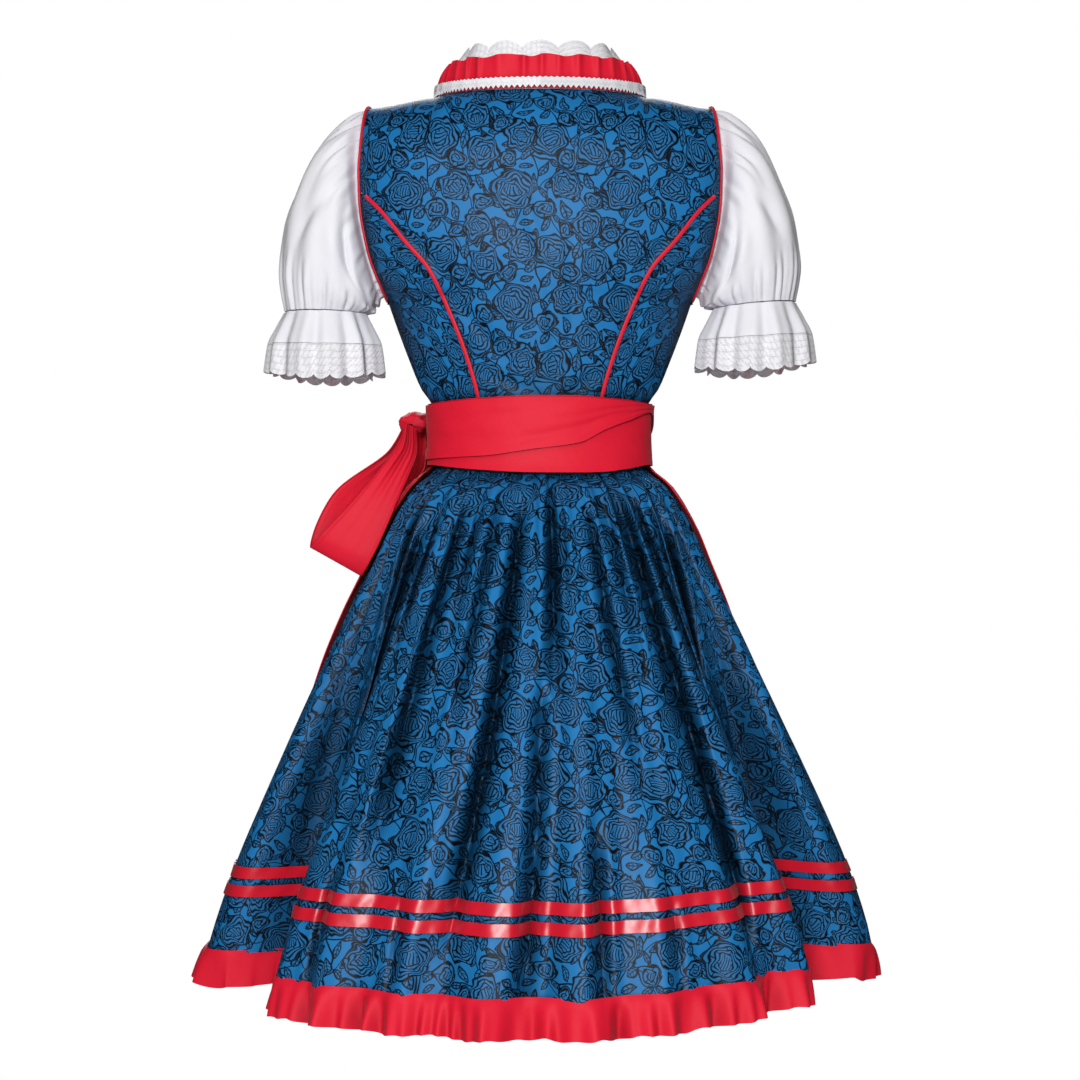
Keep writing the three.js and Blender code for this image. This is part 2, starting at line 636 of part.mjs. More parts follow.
function neckline() {
  const ring = (count) => steps(count).slice(0, -1);
  const trim = (u, v) => {
    const { low, high, out, wave } = NECK_TRIM;
    return neckPoint(u, lerp(low, high, v), out + wave * Math.cos(2 * Math.PI * NECK_PLEATS * u));
  };
  const ruffle = (u, v) => {
    const { low, high, out, wave } = NECK_RUFFLE;
    const depth = lerp(0.4, wave, Math.max(0, v) ** 1.5);
    const inwards = 0.5 * depth * (1 - Math.cos(2 * Math.PI * NECK_PLEATS * u));
    return neckPoint(u, lerp(low, high, v), out - inwards);
  };
  const lace = (u, v) => {
    const { low, high, out, lean, drop } = NECK_LACE;
    const scallop = Math.abs(Math.cos(Math.PI * NECK_SCALLOPS * u));
    return neckPoint(u, lerp(low, high - drop * (1 - scallop), v), out + lean * v);
  };
  const placed = (thick) => ({ from: 0, to: thick, closed: true });
  add("neck_trim", wall(trim, ring(60), [0, 1], placed(NECK_TRIM.thick)), LACE);
  add("neck_ruffle", wall(ruffle, ring(2 * NECK_PLEATS), [0, 1], placed(NECK_RUFFLE.thick)), RED);
  add("neck_lace", wall(lace, ring(3 * NECK_SCALLOPS), [0, 1], placed(NECK_LACE.thick)), LACE);
}

// The blouse's body lies under the bodice and ends below the bust
const BLOUSE = { shrink: 0.948, shrinkFront: 0.928, edge: 0.975, neckDrop: 6 };
function blouse() {
  const rows = [BLOUSE_HEM_Z, -222, -190, -150, -108, YOKE_Z].map((z) => z - YOKE_Z);
  const under = (side) => (u, h) => [u * edgeA(side, h) * BLOUSE.edge, h];
  const columnsOf = (half) => [...half.map((u) => -u).reverse(), 0, ...half];
  const placed = { from: -LIGHT_CLOTH, to: 0 };
  const allRows = [...rows, 0.35 * YOKE_ARC, 0.7 * YOKE_ARC, YOKE_ARC];
  const backColumns = columnsOf([0.226, 0.45, 0.7, 1]);
  add("blouse_back", bodyWall(1, under(1), backColumns, allRows, placed, 1, BLOUSE.shrink), WHITE);
  const lowest = rows[0];
  const front = (u, row) => {
    const top = frontNeck(u * edgeA(-1, YOKE_ARC)) - BLOUSE.neckDrop;
    return under(-1)(u, lerp(lowest, top, (row - lowest) / (YOKE_ARC - lowest)));
  };
  const frontColumns = columnsOf([0.21, 0.33, 0.4, 0.47, 0.7, 1]);
  add("blouse_front", bodyWall(-1, front, frontColumns, allRows, placed, 1, BLOUSE.shrinkFront), WHITE);
}

function sleevePoint(u, v) {
  const phi = 2 * Math.PI * u;
  const row = sleeveRow(v);
  const grow = 1 + (row.gather / 60) * Math.cos(SLEEVE_GATHERS * phi);
  const halfX = ((row.outX - row.inX) / 2) * grow;
  const halfZ = ((row.outZ - row.inZ) / 2) * grow;
  const x = (row.outX + row.inX) / 2 + halfX * Math.cos(phi) + row.bow * Math.sin(phi) ** 2;
  const z = (row.outZ + row.inZ) / 2 + halfZ * Math.cos(phi);
  return vec(x, row.deep * grow * Math.sin(phi), z);
}

function cuffPoint(u, z) {
  const phi = 2 * Math.PI * u;
  const grow = cuffGrow(z) + cuffWave(z) * Math.cos(CUFF.waves * phi);
  const x = CUFF.x + (CUFF.half + grow) * Math.cos(phi);
  const low = Math.max(0, (CUFF_ROWS.gather - z) / (CUFF_ROWS.gather - CUFF_ROWS.hem));
  const rise = Math.cos(phi) + CUFF.rise * low * low * Math.cos(phi) ** 2;
  return vec(x, (CUFF.deep + grow) * Math.sin(phi), z + rise);
}

function sleeves() {
  const ring = (count) => steps(count).slice(0, -1);
  const laceEdge = (u, v) => {
    const drop = CUFF.scallopDrop * Math.abs(Math.sin(Math.PI * CUFF.scallops * u));
    return cuffPoint(u, lerp(CUFF_ROWS.hem - drop, CUFF_ROWS.lace - SEAM_GAP - 0.2, v));
  };
  const placed = { from: 0, to: LIGHT_CLOTH, closed: true };
  for (const [hand, sign, lift] of [["left", 1, 0], ["right", -1, RIGHT_CUFF_LIFT]]) {
    const middle = vec(sign * CUFF.x, 0, -150);
    const raised = (surface, share) => (u, v) => {
      const p = surface(u, v);
      p.z += lift * share(v) * (0.75 + 0.25 * Math.cos(2 * Math.PI * u));
      return p;
    };
    const sleeve = mirrored(raised(sleevePoint, (v) => v * v), sign);
    const alongs = SLEEVE.map((row) => row.along);
    const ringed = { ...placed, centre: middle };
    add(`sleeve_${hand}`, wall(sleeve, ring(3 * SLEEVE_GATHERS), alongs, ringed), WHITE);
    const cuffRows = [CUFF_ROWS.lace, -247, CUFF_ROWS.gather - SEAM_GAP - 0.7];
    const cuffed = { ...placed, centre: vec(sign * CUFF.x, 0, -260) };
    const flounce = mirrored(raised(cuffPoint, () => 1), sign);
    const edging = mirrored(raised(laceEdge, () => 1), sign);
    add(`cuff_flounce_${hand}`, wall(flounce, ring(3 * CUFF.waves), cuffRows, cuffed), WHITE);
    add(`cuff_lace_${hand}`, wall(edging, ring(2 * CUFF.scallops), [0, 1], cuffed), LACE);
  }
}

const degreesApart = (a, b) => Math.abs(((((a - b) % 360) + 540) % 360) - 180);

// The skirt's surface: an angle in degrees from the centre back, and a height. Gathers can be left out,
// which leaves the smooth form that lies over them.
function skirtPoint(deg, z, gathered = 1) {
  const down = (WAIST_Z - z) / (WAIST_Z - HEM_SEAM_Z);
  let dip = 0;
  for (const fold of FOLDS) {
    const middle = lerp(fold.waist, fold.hem, Math.min(1, down));
    const away = degreesApart(deg, middle) / fold.spread;
    if (away >= 1) continue;
    const grown = Math.max(0, (fold.start - z) / (fold.start - HEM_SEAM_Z)) ** 0.85;
    dip += fold.depth * grown * (0.5 + 0.5 * Math.cos(Math.PI * away));
  }
  const angle = degToRad(deg);
  const gather = gathered * gatherDepth(z) * (0.5 - 0.5 * Math.cos(GATHER_COUNT * angle));
  const keep = 1 - dip;
  const depth = Math.cos(angle) > 0 ? skirtBack(z) : skirtFront(z);
  const rightAway = Math.min(1, degreesApart(deg, RIGHT_LIFT.angle) / RIGHT_LIFT.spread);
  const rightLift = RIGHT_LIFT.high * (0.5 + 0.5 * Math.cos(Math.PI * rightAway));
  const lift = Math.max(0, down) * (SIDE_LIFT * Math.sin(angle) ** 2 + rightLift);
  const drawn = Math.sin(angle) > 0 ? HEM_DRAWN_IN.left : HEM_DRAWN_IN.right;
  const narrow = drawn * Math.max(0, down) ** 16 * Math.sin(angle) ** 2;
  let forwards = 0;
  for (const trough of TROUGHS) {
    const middle = lerp(trough.waist, trough.hem, Math.min(1, down));
    const near = Math.min(1, degreesApart(deg, middle) / trough.spread);
    forwards += trough.deep * smoothstep(down, 0.15, 0.75) * (0.5 + 0.5 * Math.cos(Math.PI * near));
  }
  const x = (skirtHalf(z) * keep - gather - narrow) * Math.sin(angle);
  return vec(x, (depth * keep - gather) * Math.cos(angle) - forwards, z + lift);
}

const SKIRT_ROWS = [-933, RIBBON_ROWS.bottom, RIBBON_ROWS.top, -720, -610, -511, -445, -420, -398, -372.4];
const SEAM_ANGLE = 0.08;
const BACK_ANGLES = steps(56, -90, 90);
const FRONT_ANGLES = steps(28, 90, 270);

function skirt() {
  const ends = (list) => [list[0] + SEAM_ANGLE, ...list.slice(1, -1), list.at(-1) - SEAM_ANGLE];
  add("skirt_back", wall(skirtPoint, ends(BACK_ANGLES), SKIRT_ROWS, OUTWARD), PRINT);
  add("skirt_front", wall(skirtPoint, ends(FRONT_ANGLES), SKIRT_ROWS, OUTWARD), PRINT);
  const round = [...BACK_ANGLES, ...FRONT_ANGLES.slice(1, -1)];
  const { top, bottom } = RIBBON_ROWS;
  const share = (z) => (z - bottom) / (top - bottom);
  const between = (deg, z) => skirtPoint(deg, bottom).lerp(skirtPoint(deg, top), share(z));
  for (const ribbon of RIBBONS) {
    const placed = { from: 1.2, to: 2.2, closed: true };
    add(ribbon.name, wall(between, round, [ribbon.bottom, ribbon.top], placed), SATIN);
  }
  const ruffle = (u, z) => {
    const p = skirtPoint(360 * u, z, 0);
    const out = vec(p.x, p.y, 0).normalize();
    return p.addScaledVector(out, hemWave(z) * Math.cos(2 * Math.PI * HEM_WAVES * u));
  };
  const hemRows = [HEM_Z, HEM_SEAM_Z - 0.7];
  const hemAngles = steps(3 * HEM_WAVES).slice(0, -1);
  add("hem_ruffle", wall(ruffle, hemAngles, hemRows, { from: -CLOTH, to: 0, closed: true }), RED);
}

function sashPoint(deg, z) {
  const angle = degToRad(deg);
  const depth = Math.cos(angle) > 0 ? sashBack(z) : sashFront(z);
  return vec(sashHalf(z) * Math.sin(angle), depth * Math.cos(angle), z);
}

// How far the apron hangs out from the skirt at a height
const apronEase = (z) => APRON_EASE * smoothstep(-z, -SASH[0].z, -RIBBON_ROWS.top);

function apron() {
  const panel = (u, z) => {
    const p = skirtPoint(lerp(apronLeft(z), 360 + apronRight(z), u), z, 0);
    return p.addScaledVector(vec(p.x, p.y, 0).normalize(), apronEase(z));
  };
  const rows = [APRON_HEM_Z, -838, -780, -720, -610, -511, -445, -420, -398, -375];
  add("apron_panel", wall(panel, steps(26), rows, { from: 3.2, to: 4.4 }), RED);
  const angles = steps(38, -180, 180).slice(0, -1);
  const band = (low) => (deg, v) => {
    const wrapped = ((deg + 540) % 360) - 180;
    return sashPoint(wrapped, lerp(low(wrapped), sashTop(wrapped) - (low === overTieEdge ? 1.5 : 0), v));
  };
  const rise = [0, 0.5, 1];
  add("apron_band", wall(band(sashBottom), angles, rise, { from: 0, to: 1.1, closed: true }), RED);
  add("tie_over", wall(band(overTieEdge), angles, rise, { from: 2.7, to: 3.7, closed: true }), RED);
}

function bow() {
  const centre = vec(KNOT.x, KNOT.y, KNOT.z);
  const axis = vec(0.3, 0.9, -0.3).normalize();
  const upright = vec(0, 0, 1).addScaledVector(axis, -axis.z).normalize();
  const side = axis.clone().cross(upright);
  const knot = (u, v) => {
    const phi = 2 * Math.PI * u;
    const radius = KNOT.radius * (1 - 0.22 * v * v);
    return centre
      .clone()
      .addScaledVector(axis, KNOT.half * v)
      .addScaledVector(upright, 0.85 * radius * Math.cos(phi))
      .addScaledVector(side, 1.4 * radius * Math.sin(phi));
  };
  const placed = { from: -KNOT.thick, to: 0, closed: true, centre };
  add("bow_knot", wall(knot, steps(12).slice(0, -1), [-1, -0.4, 0.4, 1], placed), RED);

  const loop = (name, start, along, across) => {
    const reach = along.normalize();
    const wide = across.addScaledVector(reach, -across.dot(reach)).normalize();
    const apart = reach.clone().cross(wide);
    if (apart.dot(axis) * start < 0) apart.negate();
    const origin = centre.clone().addScaledVector(axis, start);
    const surface = (u, v) => {
      const row = loopRow(Math.min(1, Math.max(0, u)));
      return origin
        .clone()
        .addScaledVector(reach, row.reach)
        .addScaledVector(wide, row.shift + row.half * v)
        .addScaledVector(apart, row.layer + 3);
    };
    const middle = origin.clone().addScaledVector(reach, 80).addScaledVector(apart, 7);
    add(name, wall(surface, steps(16), [-1, 0, 1], { from: 0, to: 1.1, centre: middle }), RED);
  };
  loop("bow_loop_outer", KNOT.half + 0.4, vec(0.49, 0.15, -0.87), vec(0.87, 0, 0.49));
  loop("bow_loop_front", -KNOT.half - 1.8, vec(0.08, -0.6, -0.8), vec(0.8, -0.35, 0.3));

  for (const tail of TAILS) {
    const surface = (u, v) => {
      const z = lerp(tail.low, -368, v);
      const row = tailRow(z);
      const middle = row.bend < 0.3
        ? lerp(tail.top, tail.middle, row.bend / 0.3)
        : lerp(tail.middle, tail.end, (row.bend - 0.3) / 0.7);
      const girth = degToRad(1) * (skirtHalf(z) + skirtFront(z)) / 2;
      const deg = middle + (row.half * u) / girth;
      const p = skirtPoint(deg, z, 0);
      const out = vec(Math.sin(degToRad(deg)), Math.cos(degToRad(deg)), 0);
      return p.addScaledVector(out, row.out + apronEase(z));
    };
    const rows = [0, 0.2, 0.4, 0.58, 0.72, 0.83, 0.92, 1];
    add(tail.name, wall(surface, [-1, -0.33, 0.33, 1], rows, { from: 0, to: 1.1 }), RED);
  }
}

bodice();
piping();
bindings();
neckline();
blouse();
sleeves();
skirt();
apron();
bow();
export default dress;
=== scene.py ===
"""A dirndl seen from behind, as it hangs when it is worn, in the frame of its solids.

Sizes are in millimetres until a mesh is made, which takes metres. The wearer faces -Y and the wearer's left
is +X. Every piece of cloth is a grid of points worked out with whole arrays from two parameters:

body      bodice and blouse. An ellipse at each height, drawn out at the armholes, that turns over the
          shoulder along a quarter of an ellipse.
skirt     an ellipse at each height with long folds in its radius, and gathers that fade below the waist. Two
          troughs and many sharp valleys are then moved straight in from the back and the front.
sash      an ellipse at each height between a lower and an upper edge that differ round the waist.
sleeve    rings between an outermost and an innermost line, with gathers at the armhole and at the elastic.
cuff      an ellipse that flares downwards, with waves.
neck      what stands on the neck seam: the seam's curve moved up and out.
loop      a ribbon that runs out from the knot and back, with folds that spread from the knot.

Soft creases are hollows along listed lines, pressed into a surface along its normals. The print is drawn from
the cloth's own coordinates: roses are lobed spirals, leaves are pairs of curved edges, and stems are sine
waves. Painted shade turns the cloth to a deeper colour where folds close in on it.
"""

import math

import bpy
import numpy as np
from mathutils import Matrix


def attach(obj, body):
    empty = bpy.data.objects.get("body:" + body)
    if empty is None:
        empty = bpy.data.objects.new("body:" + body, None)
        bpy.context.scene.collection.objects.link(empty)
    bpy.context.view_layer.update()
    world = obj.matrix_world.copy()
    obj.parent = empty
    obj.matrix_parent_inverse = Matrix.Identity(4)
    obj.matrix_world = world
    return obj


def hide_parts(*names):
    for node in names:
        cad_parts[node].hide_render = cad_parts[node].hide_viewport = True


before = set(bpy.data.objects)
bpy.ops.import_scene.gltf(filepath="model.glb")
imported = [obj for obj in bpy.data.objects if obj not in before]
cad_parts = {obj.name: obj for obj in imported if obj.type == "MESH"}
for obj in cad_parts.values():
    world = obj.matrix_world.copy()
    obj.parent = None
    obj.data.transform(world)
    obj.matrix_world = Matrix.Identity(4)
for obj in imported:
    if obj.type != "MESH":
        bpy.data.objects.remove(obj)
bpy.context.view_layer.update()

# Cloth thicknesses
CLOTH = 1.5
LIGHT_CLOTH = 1.1
FINE_CLOTH = 0.8

# Heights of the seams and edges
WAIST_Z = -372
YOKE_Z = -75
SHOULDER_Z = -4
NECK_Z = 7
HEM_SEAM_Z = -933
HEM_Z = -970
APRON_HEM_Z = -888
BLOUSE_HEM_Z = -258
HEART_Z = -150

# Top of the bodice
SHOULDER_X = 188
NECK_X = 113
NECK_DEPTH = 66
YOKE_ARC = 85
FRONT_NECK_DROP = 50
NAPE_BEND = 0.9
ARMHOLE_Z = -108
ARMHOLE_HALF_HEIGHT = 106
ARMHOLE_HALF_DEPTH = 42
ARMHOLE_POWER = 2.4
EDGE_GAP = 3.8
SEAM_GAP = 0.3
PRINCESS_GAP = 0.0018
FRONT_NECK_CURVE = 3.2
PIPING_TOP = -108
PRINCESS_TOP = -100

# The hem rises at both sides, and more on a stretch of the right one, and draws in a little
SIDE_LIFT = 10
RIGHT_LIFT = {"angle": -54, "spread": 50, "high": 10}
HEM_DRAWN_IN = {"left": 2, "right": 5}

# The right cuff sits higher, the lace leans in at the sides of the neck, and the apron hangs off the skirt
RIGHT_CUFF_LIFT = 11
SIDE_LEAN = 34
LACE_HIGH = 54
APRON_EASE = 6
APRON_TOP_Z = -375
TAIL_TOP_Z = -368
BLOUSE_SHRINK = {"blouse_back": 0.948, "blouse_front": 0.928}
QUARTER = math.pi / 2
METRES = 0.001
HANDS = (("left", 1), ("right", -1))
FACINGS = (("back", 1), ("front", -1))


def columns(names, *rows):
    """A table with named columns."""
    return dict(zip(names.split(), np.array(rows, float).T))


BODY = columns(
    "z half back front",
    (-372, 112, 70, 80),
    (-350, 114, 71, 81),
    (-330, 118.5, 73, 84),
    (-313, 130, 76, 91),
    (-280, 144, 82, 107),
    (-247, 156.5, 88, 120),
    (-214, 168, 93, 122),
    (-165, 186, 98, 111),
    (-110, 195, 99, 96),
    (-75, 196, 96, 87),
)
PRINCESS = columns(
    "z back front",
    (-372, 59, 56),
    (-325, 66, 64),
    (-285, 77, 80),
    (-237, 95, 98),
    (-189, 118, 120),
    (-157, 145, 144),
    (-125, 170, 169),
    (-100, 195, 195),
)
SKIRT = columns(
    "z half back front",
    (-990, 386, 322, 306),
    (-933, 370, 308, 292),
    (-838, 337, 284, 270),
    (-720, 286, 243, 232),
    (-610, 235, 196, 191),
    (-511, 188, 150, 150),
    (-445, 156, 118, 122),
    (-420, 139, 99, 107),
    (-408, 124, 82, 92),
    (-398, 115.5, 77, 86),
    (-372, 112, 70, 80),
)

# The skirt's long folds: angle from the centre back at the waist and the hem, depth as a share of the
# radius, half width in degrees, and the height at which each begins
FOLDS = columns(
    "waist hem depth spread start",
    (58, 65, 0.28, 19, -470),
    (40, 43, 0.03, 8, -400),
    (28, 30, 0.05, 9, -400),
    (7, 17, 0.06, 8, -400),
    (-9, 1, 0.06, 8, -400),
    (-17, -14, 0.035, 7, -400),
    (-24, -27, 0.035, 7, -400),
    (-30, -42, 0.055, 8, -400),
    (-56, -67, 0.32, 20, -430),
    (100, 105, 0.09, 11, -430),
    (-100, -106, 0.1, 11, -430),
    (126, 129, 0.13, 14, -420),
    (-124, -130, 0.12, 13, -420),
    (152, 154, 0.1, 12, -430),
    (-150, -155, 0.11, 12, -430),
    (178, 179, 0.1, 12, -440),
)

# How far the two deep side folds of the back run forwards, under the middle part of the skirt
TROUGHS = columns(
    "waist hem spread deep",
    (62, 68, 12, 52),
    (-60, -71, 12, 56),
)
GATHERS = columns(
    "z deep",
    (-720, 0),
    (-610, 2),
    (-511, 5),
    (-445, 8),
    (-420, 7),
    (-398, 4),
    (-372, 3),
)

# Sharp valleys between soft ridges: angle at heights of -430, -670 and -910, depth, half width in degrees
# where the skirt's own half width is VALLEY_HALF, and the heights where each begins and mostly fades out
VALLEY_MIDDLE_Z = -670
VALLEY_STEP = 240
VALLEY_HALF = 280
VALLEYS = columns(
    "top middle foot deep wide start end",
    (49, 50, 48, 26, 3.6, -440, -720),
    (57, 57, 56, 16, 3.0, -400, -620),
    (42, 44, 43, 16, 2.8, -395, -600),
    (31, 33, 33, 28, 3.6, -395, -790),
    (25, 26, 26, 12, 2.4, -395, -560),
    (16.5, 20, 22, 17, 2.8, -395, -660),
    (6.8, 11.4, 17, 30, 3.6, -395, -860),
    (-4.6, -3, 0, 24, 3.2, -395, -610),
    (-1, 0, 2.4, 22, 3.4, -600, -960),
    (-8.5, -8, -10.5, 15, 2.6, -395, -540),
    (-13, -11, -10.2, 19, 3.2, -740, -960),
    (-19, -21, -24, 21, 3.0, -395, -700),
    (-27, -28, -29, 15, 2.6, -395, -600),
    (-34.5, -37.2, -38.4, 31, 3.6, -395, -900),
    (-43, -46, -47, 18, 2.9, -395, -660),
    (-50, -50, -50, 13, 2.6, -395, -560),
    (-58, -57, -53, 26, 3.6, -440, -720),
    (-69, -74, -76, 14, 3.6, -400, -700),
    (26, 25, 25, 14, 3.2, -800, -960),
    (38, 40, 41, 15, 3.0, -780, -960),
    (-24, -24, -23, 14, 3.2, -820, -960),
    (72, 74, 76, 14, 3.6, -400, -720),
    (84, 84, 85, 12, 3.6, -400, -800),
    (-82, -84, -86, 12, 3.6, -400, -760),
    (104, 108, 110, 22, 3.6, -400, -860),
    (118, 120, 120, 17, 3.2, -400, -700),
    (134, 137, 138, 24, 3.6, -400, -880),
    (149, 150, 149, 17, 3.2, -400, -720),
    (163, 166, 168, 24, 3.6, -400, -900),
    (181, 181, 183, 20, 3.4, -400, -760),
    (197, 195, 192, 24, 3.6, -400, -880),
    (213, 212, 212, 17, 3.2, -400, -700),
    (228, 225, 224, 24, 3.6, -400, -880),
    (243, 242, 241, 17, 3.2, -400, -720),
    (257, 254, 252, 22, 3.6, -400, -860),
)

RIBBONS = columns("top bottom", (-839, -851.5), (-859, -871.5))
APRON_EDGES = columns(
    "z left right",
    (-888, 114, -118),
    (-720, 102, -108),
    (-555, 91, -97),
    (-447, 84, -89),
    (-372, 80, -84),
)
SASH = columns(
    "z half back front",
    (-406, 124.5, 85.6, 99),
    (-396, 123, 82.8, 95.8),
    (-365, 121.5, 80.3, 92),
    (-332, 122, 80.5, 92.5),
    (-320, 123.5, 81.5, 94),
)
SASH_EDGES = columns(
    "angle top bottom over",
    (-180, -327, -399, -388),
    (-110, -328, -397, -368),
    (-75, -329, -396, -339),
    (-47, -326, -402, -351),
    (-34, -325, -405, -360),
    (-19.5, -323, -406, -374),
    (3.5, -323, -406, -381),
    (30, -325, -403, -388),
    (80, -329, -396, -390),
    (180, -327, -399, -388),
)
SLEEVE = columns(
    "along out_x out_z in_x in_z deep bow gather",
    (0, 184, -8.5, 169, -208, 37.6, 15, 0),
    (0.07, 193, -10, 176, -211, 38.5, 14.5, 0.4),
    (0.2, 210, -19.5, 178, -216, 54, 12, 3),
    (0.36, 238, -43, 180, -220, 65, 8, 2),
    (0.54, 262, -87, 182, -222.5, 69, 4, 0.5),
    (0.72, 279, -136, 182, -225, 66, 0, 1),
    (0.88, 284, -185, 183, -227, 59, 0, 3),
    (1, 279, -227, 191, -229, 48, 0, 1.5),
)
CUFF_X = 235
CUFF_HALF = 43.5
CUFF_DEEP = 48
CUFF_WAVES = 11
CUFF_SCALLOPS = 22
CUFF_GATHER_Z = -228.6
CUFF_LACE_Z = -266
CUFF_HEM_Z = -300
CUFF_RISE = 8
SLEEVE_MIDDLE_Z = -150
CUFF_MIDDLE_Z = -260
CUFF_FLARE = columns(
    "z grow wave",
    (-306, 20, 5),
    (-266, 16, 4),
    (-246, 8, 3),
    (-228, 0, 1.2),
)
NECK_PLEATS = 40
NECK_POINTS = 150
NECK_SCALLOPS = 22
BACK_SHARE = 0.21
HEM_WAVES = 40
HEM_RUFFLE = columns("z wave", (-970, 6), (-950, 3.6), (-933, 1.2))
KNOT = {"centre": (139.1, -30.8, -347), "radius": 13.5, "half": 13, "thick": 2}
LOOP = columns(
    "turn reach half shift layer",
    (0, 1, 7, 0, 3),
    (0.12, 34, 12, -12, 12),
    (0.3, 104, 22, -11, 20),
    (0.42, 154, 30, -7, 16),
    (0.5, 174, 32, -4, 4),
    (0.58, 158, 31, 3, -7),
    (0.7, 108, 24, 12, -10),
    (0.88, 36, 11, -4, -6),
    (1, 1, 7, 0, -3),
)
TAILS = {
    "bow_tail_long": {"low": -730, "top": 110, "middle": 112, "end": 116},
    "bow_tail_short": {"low": -660, "top": 124, "middle": 134, "end": 141},
}
TAIL = columns(
    "z half out bend",
    (-740, 31, 6.7, 1),
    (-560, 27, 6.7, 0.7),
    (-430, 19, 8.4, 0.3),
    (-398, 12, 15.5, 0.12),
    (-368, 8, 18, 0),
)

# Creases pressed into the back of the bodice: both ends seen from behind, half width and depth
BACK_CREASES = columns(
    "x0 z0 x1 z1 wide deep",
    (24, -98, -8, -189, 9, 2.4),
    (-8, -189, -19, -312, 8, 2.2),
    (-32, -160, -34, -262, 7, 1.8),
    (96, -216, 40, -282, 8, 2.2),
    (-84, -190, -108, -262, 10, 2.6),
    (150, -150, 96, -196, 9, 1.8),
    (-150, -140, -104, -200, 9, 1.8),
    (62, -300, 8, -318, 7, 1.8),
    (-70, -296, -22, -326, 7, 1.8),
    (120, -60, 60, -112, 11, 1.5),
    (-120, -58, -70, -118, 11, 1.5),
    (10, -222, 34, -300, 8, 1.4),
)
FRONT_CREASES = columns(
    "x0 z0 x1 z1 wide deep",
    (92, -262, 34, -306, 9, 2),
    (-92, -258, -38, -312, 9, 2),
    (150, -140, 104, -180, 10, 1.8),
    (-150, -144, -102, -178, 10, 1.8),
    (52, -300, 20, -322, 7, 1.4),
    (-48, -296, -18, -326, 7, 1.4),
)


def curve(table, key):
    """Reads a column of a table, over its first one, as a smooth curve that never overshoots its rows."""
    x = next(iter(table.values()))
    y = table[key]
    rise = np.diff(y) / np.diff(x)
    same_way = rise[:-1] * rise[1:] > 0
    first = np.where(same_way, rise[:-1], 1)
    second = np.where(same_way, rise[1:], 1)
    inner = np.where(same_way, 2 / (1 / first + 1 / second), 0)
    slope = np.concatenate([rise[:1], inner, rise[-1:]])

    def read(at):
        i = np.clip(np.searchsorted(x, at, side="right") - 1, 0, len(x) - 2)
        width = x[i + 1] - x[i]
        t = np.clip((at - x[i]) / width, 0, 1)
        low = (1 + 2 * t) * (1 - t) ** 2 * y[i] + t * (1 - t) ** 2 * width * slope[i]
        high = t * t * (3 - 2 * t) * y[i + 1] + t * t * (t - 1) * width * slope[i + 1]
        return low + high

    return read


def curves(table):
    """A curve for each column of a table but the first."""
    return {key: curve(table, key) for key in list(table)[1:]}


def smoothstep(value, low, high):
    """0 below low and 1 above high, with a smooth rise between."""
    t = np.clip((value - low) / (high - low), 0, 1)
    return t * t * (3 - 2 * t)


def mix(a, b, t):
    """Straight from a to b."""
    return a + (b - a) * t


def points_of(x, y, z):
    """Arrays of coordinates as one array of points."""
    return np.stack(np.broadcast_arrays(x, y, z), axis=-1).astype(float)


def unit(v):
    """Vectors at length 1."""
    return v / np.maximum(np.linalg.norm(v, axis=-1, keepdims=True), 1e-9)


def mesh_grid(us, vs):
    """Two arrays, one of each parameter, with a row for each v."""
    return np.meshgrid(np.asarray(us, float), np.asarray(vs, float))


def ring(count):
    """Shares of a turn, once round."""
    return np.arange(count) / count


def degrees_from(deg, line):
    """How far angles in degrees lie from a line, from -180 to 180."""
    return (deg - line + 180) % 360 - 180


def bell(away):
    """1 at 0 and 0 from 1 on."""
    return np.where(np.abs(away) < 1, 0.5 + 0.5 * np.cos(np.pi * np.clip(away, -1, 1)), 0)


def normals_of(grid, centre):
    """Normals of a grid of points, pointing away from centre."""
    across = np.gradient(grid, axis=1)
    up = np.gradient(grid, axis=0)
    n = unit(np.cross(across, up))
    middle = np.array([0, 0, 0]) if centre is None else np.asarray(centre, float)
    away = grid - middle
    if centre is None:
        away[..., 2] = 0
    return n if (n * away).sum() > 0 else -n


def creases(x, z, table):
    """Depth of the creases of a table at places seen from the front or back."""
    total = np.zeros(np.broadcast(x, z).shape)
    for x0, z0, x1, z1, wide, deep in zip(*table.values()):
        length = math.hypot(x1 - x0, z1 - z0)
        t = ((x - x0) * (x1 - x0) + (z - z0) * (z1 - z0)) / length**2
        near = np.clip(t, 0, 1)
        away = np.hypot(x - mix(x0, x1, near), z - mix(z0, z1, near))
        total += deep * np.exp(-((away / wide) ** 2)) * np.sin(np.pi * mix(0.12, 0.88, near))
    return total


def arc_lengths(grid, axis):
    """Length along a grid from its first column or row to each point."""
    steps = np.linalg.norm(np.diff(grid, axis=axis), axis=-1)
    start = np.zeros_like(np.take(steps, [0], axis=axis))
    return np.concatenate([start, np.cumsum(steps, axis=axis)], axis=axis)


def flat_uv(grid, middle=0.0):
    """Cloth coordinates in metres for a grid: across, from the column at middle as a share, and up."""
    across = arc_lengths(grid, 1)
    column = int(round(middle * (grid.shape[1] - 1)))
    across = across - across[:, column : column + 1]
    up = arc_lengths(grid, 0)[:, column : column + 1]
    return np.stack(np.broadcast_arrays(across, up), axis=-1) * METRES


def linear(code):
    """An sRGB hex colour as linear values with alpha 1."""
    parts = [int(code[i : i + 2], 16) / 255 for i in (1, 3, 5)]
    return [p / 12.92 if p <= 0.04045 else ((p + 0.055) / 1.055) ** 2.4 for p in parts] + [1.0]


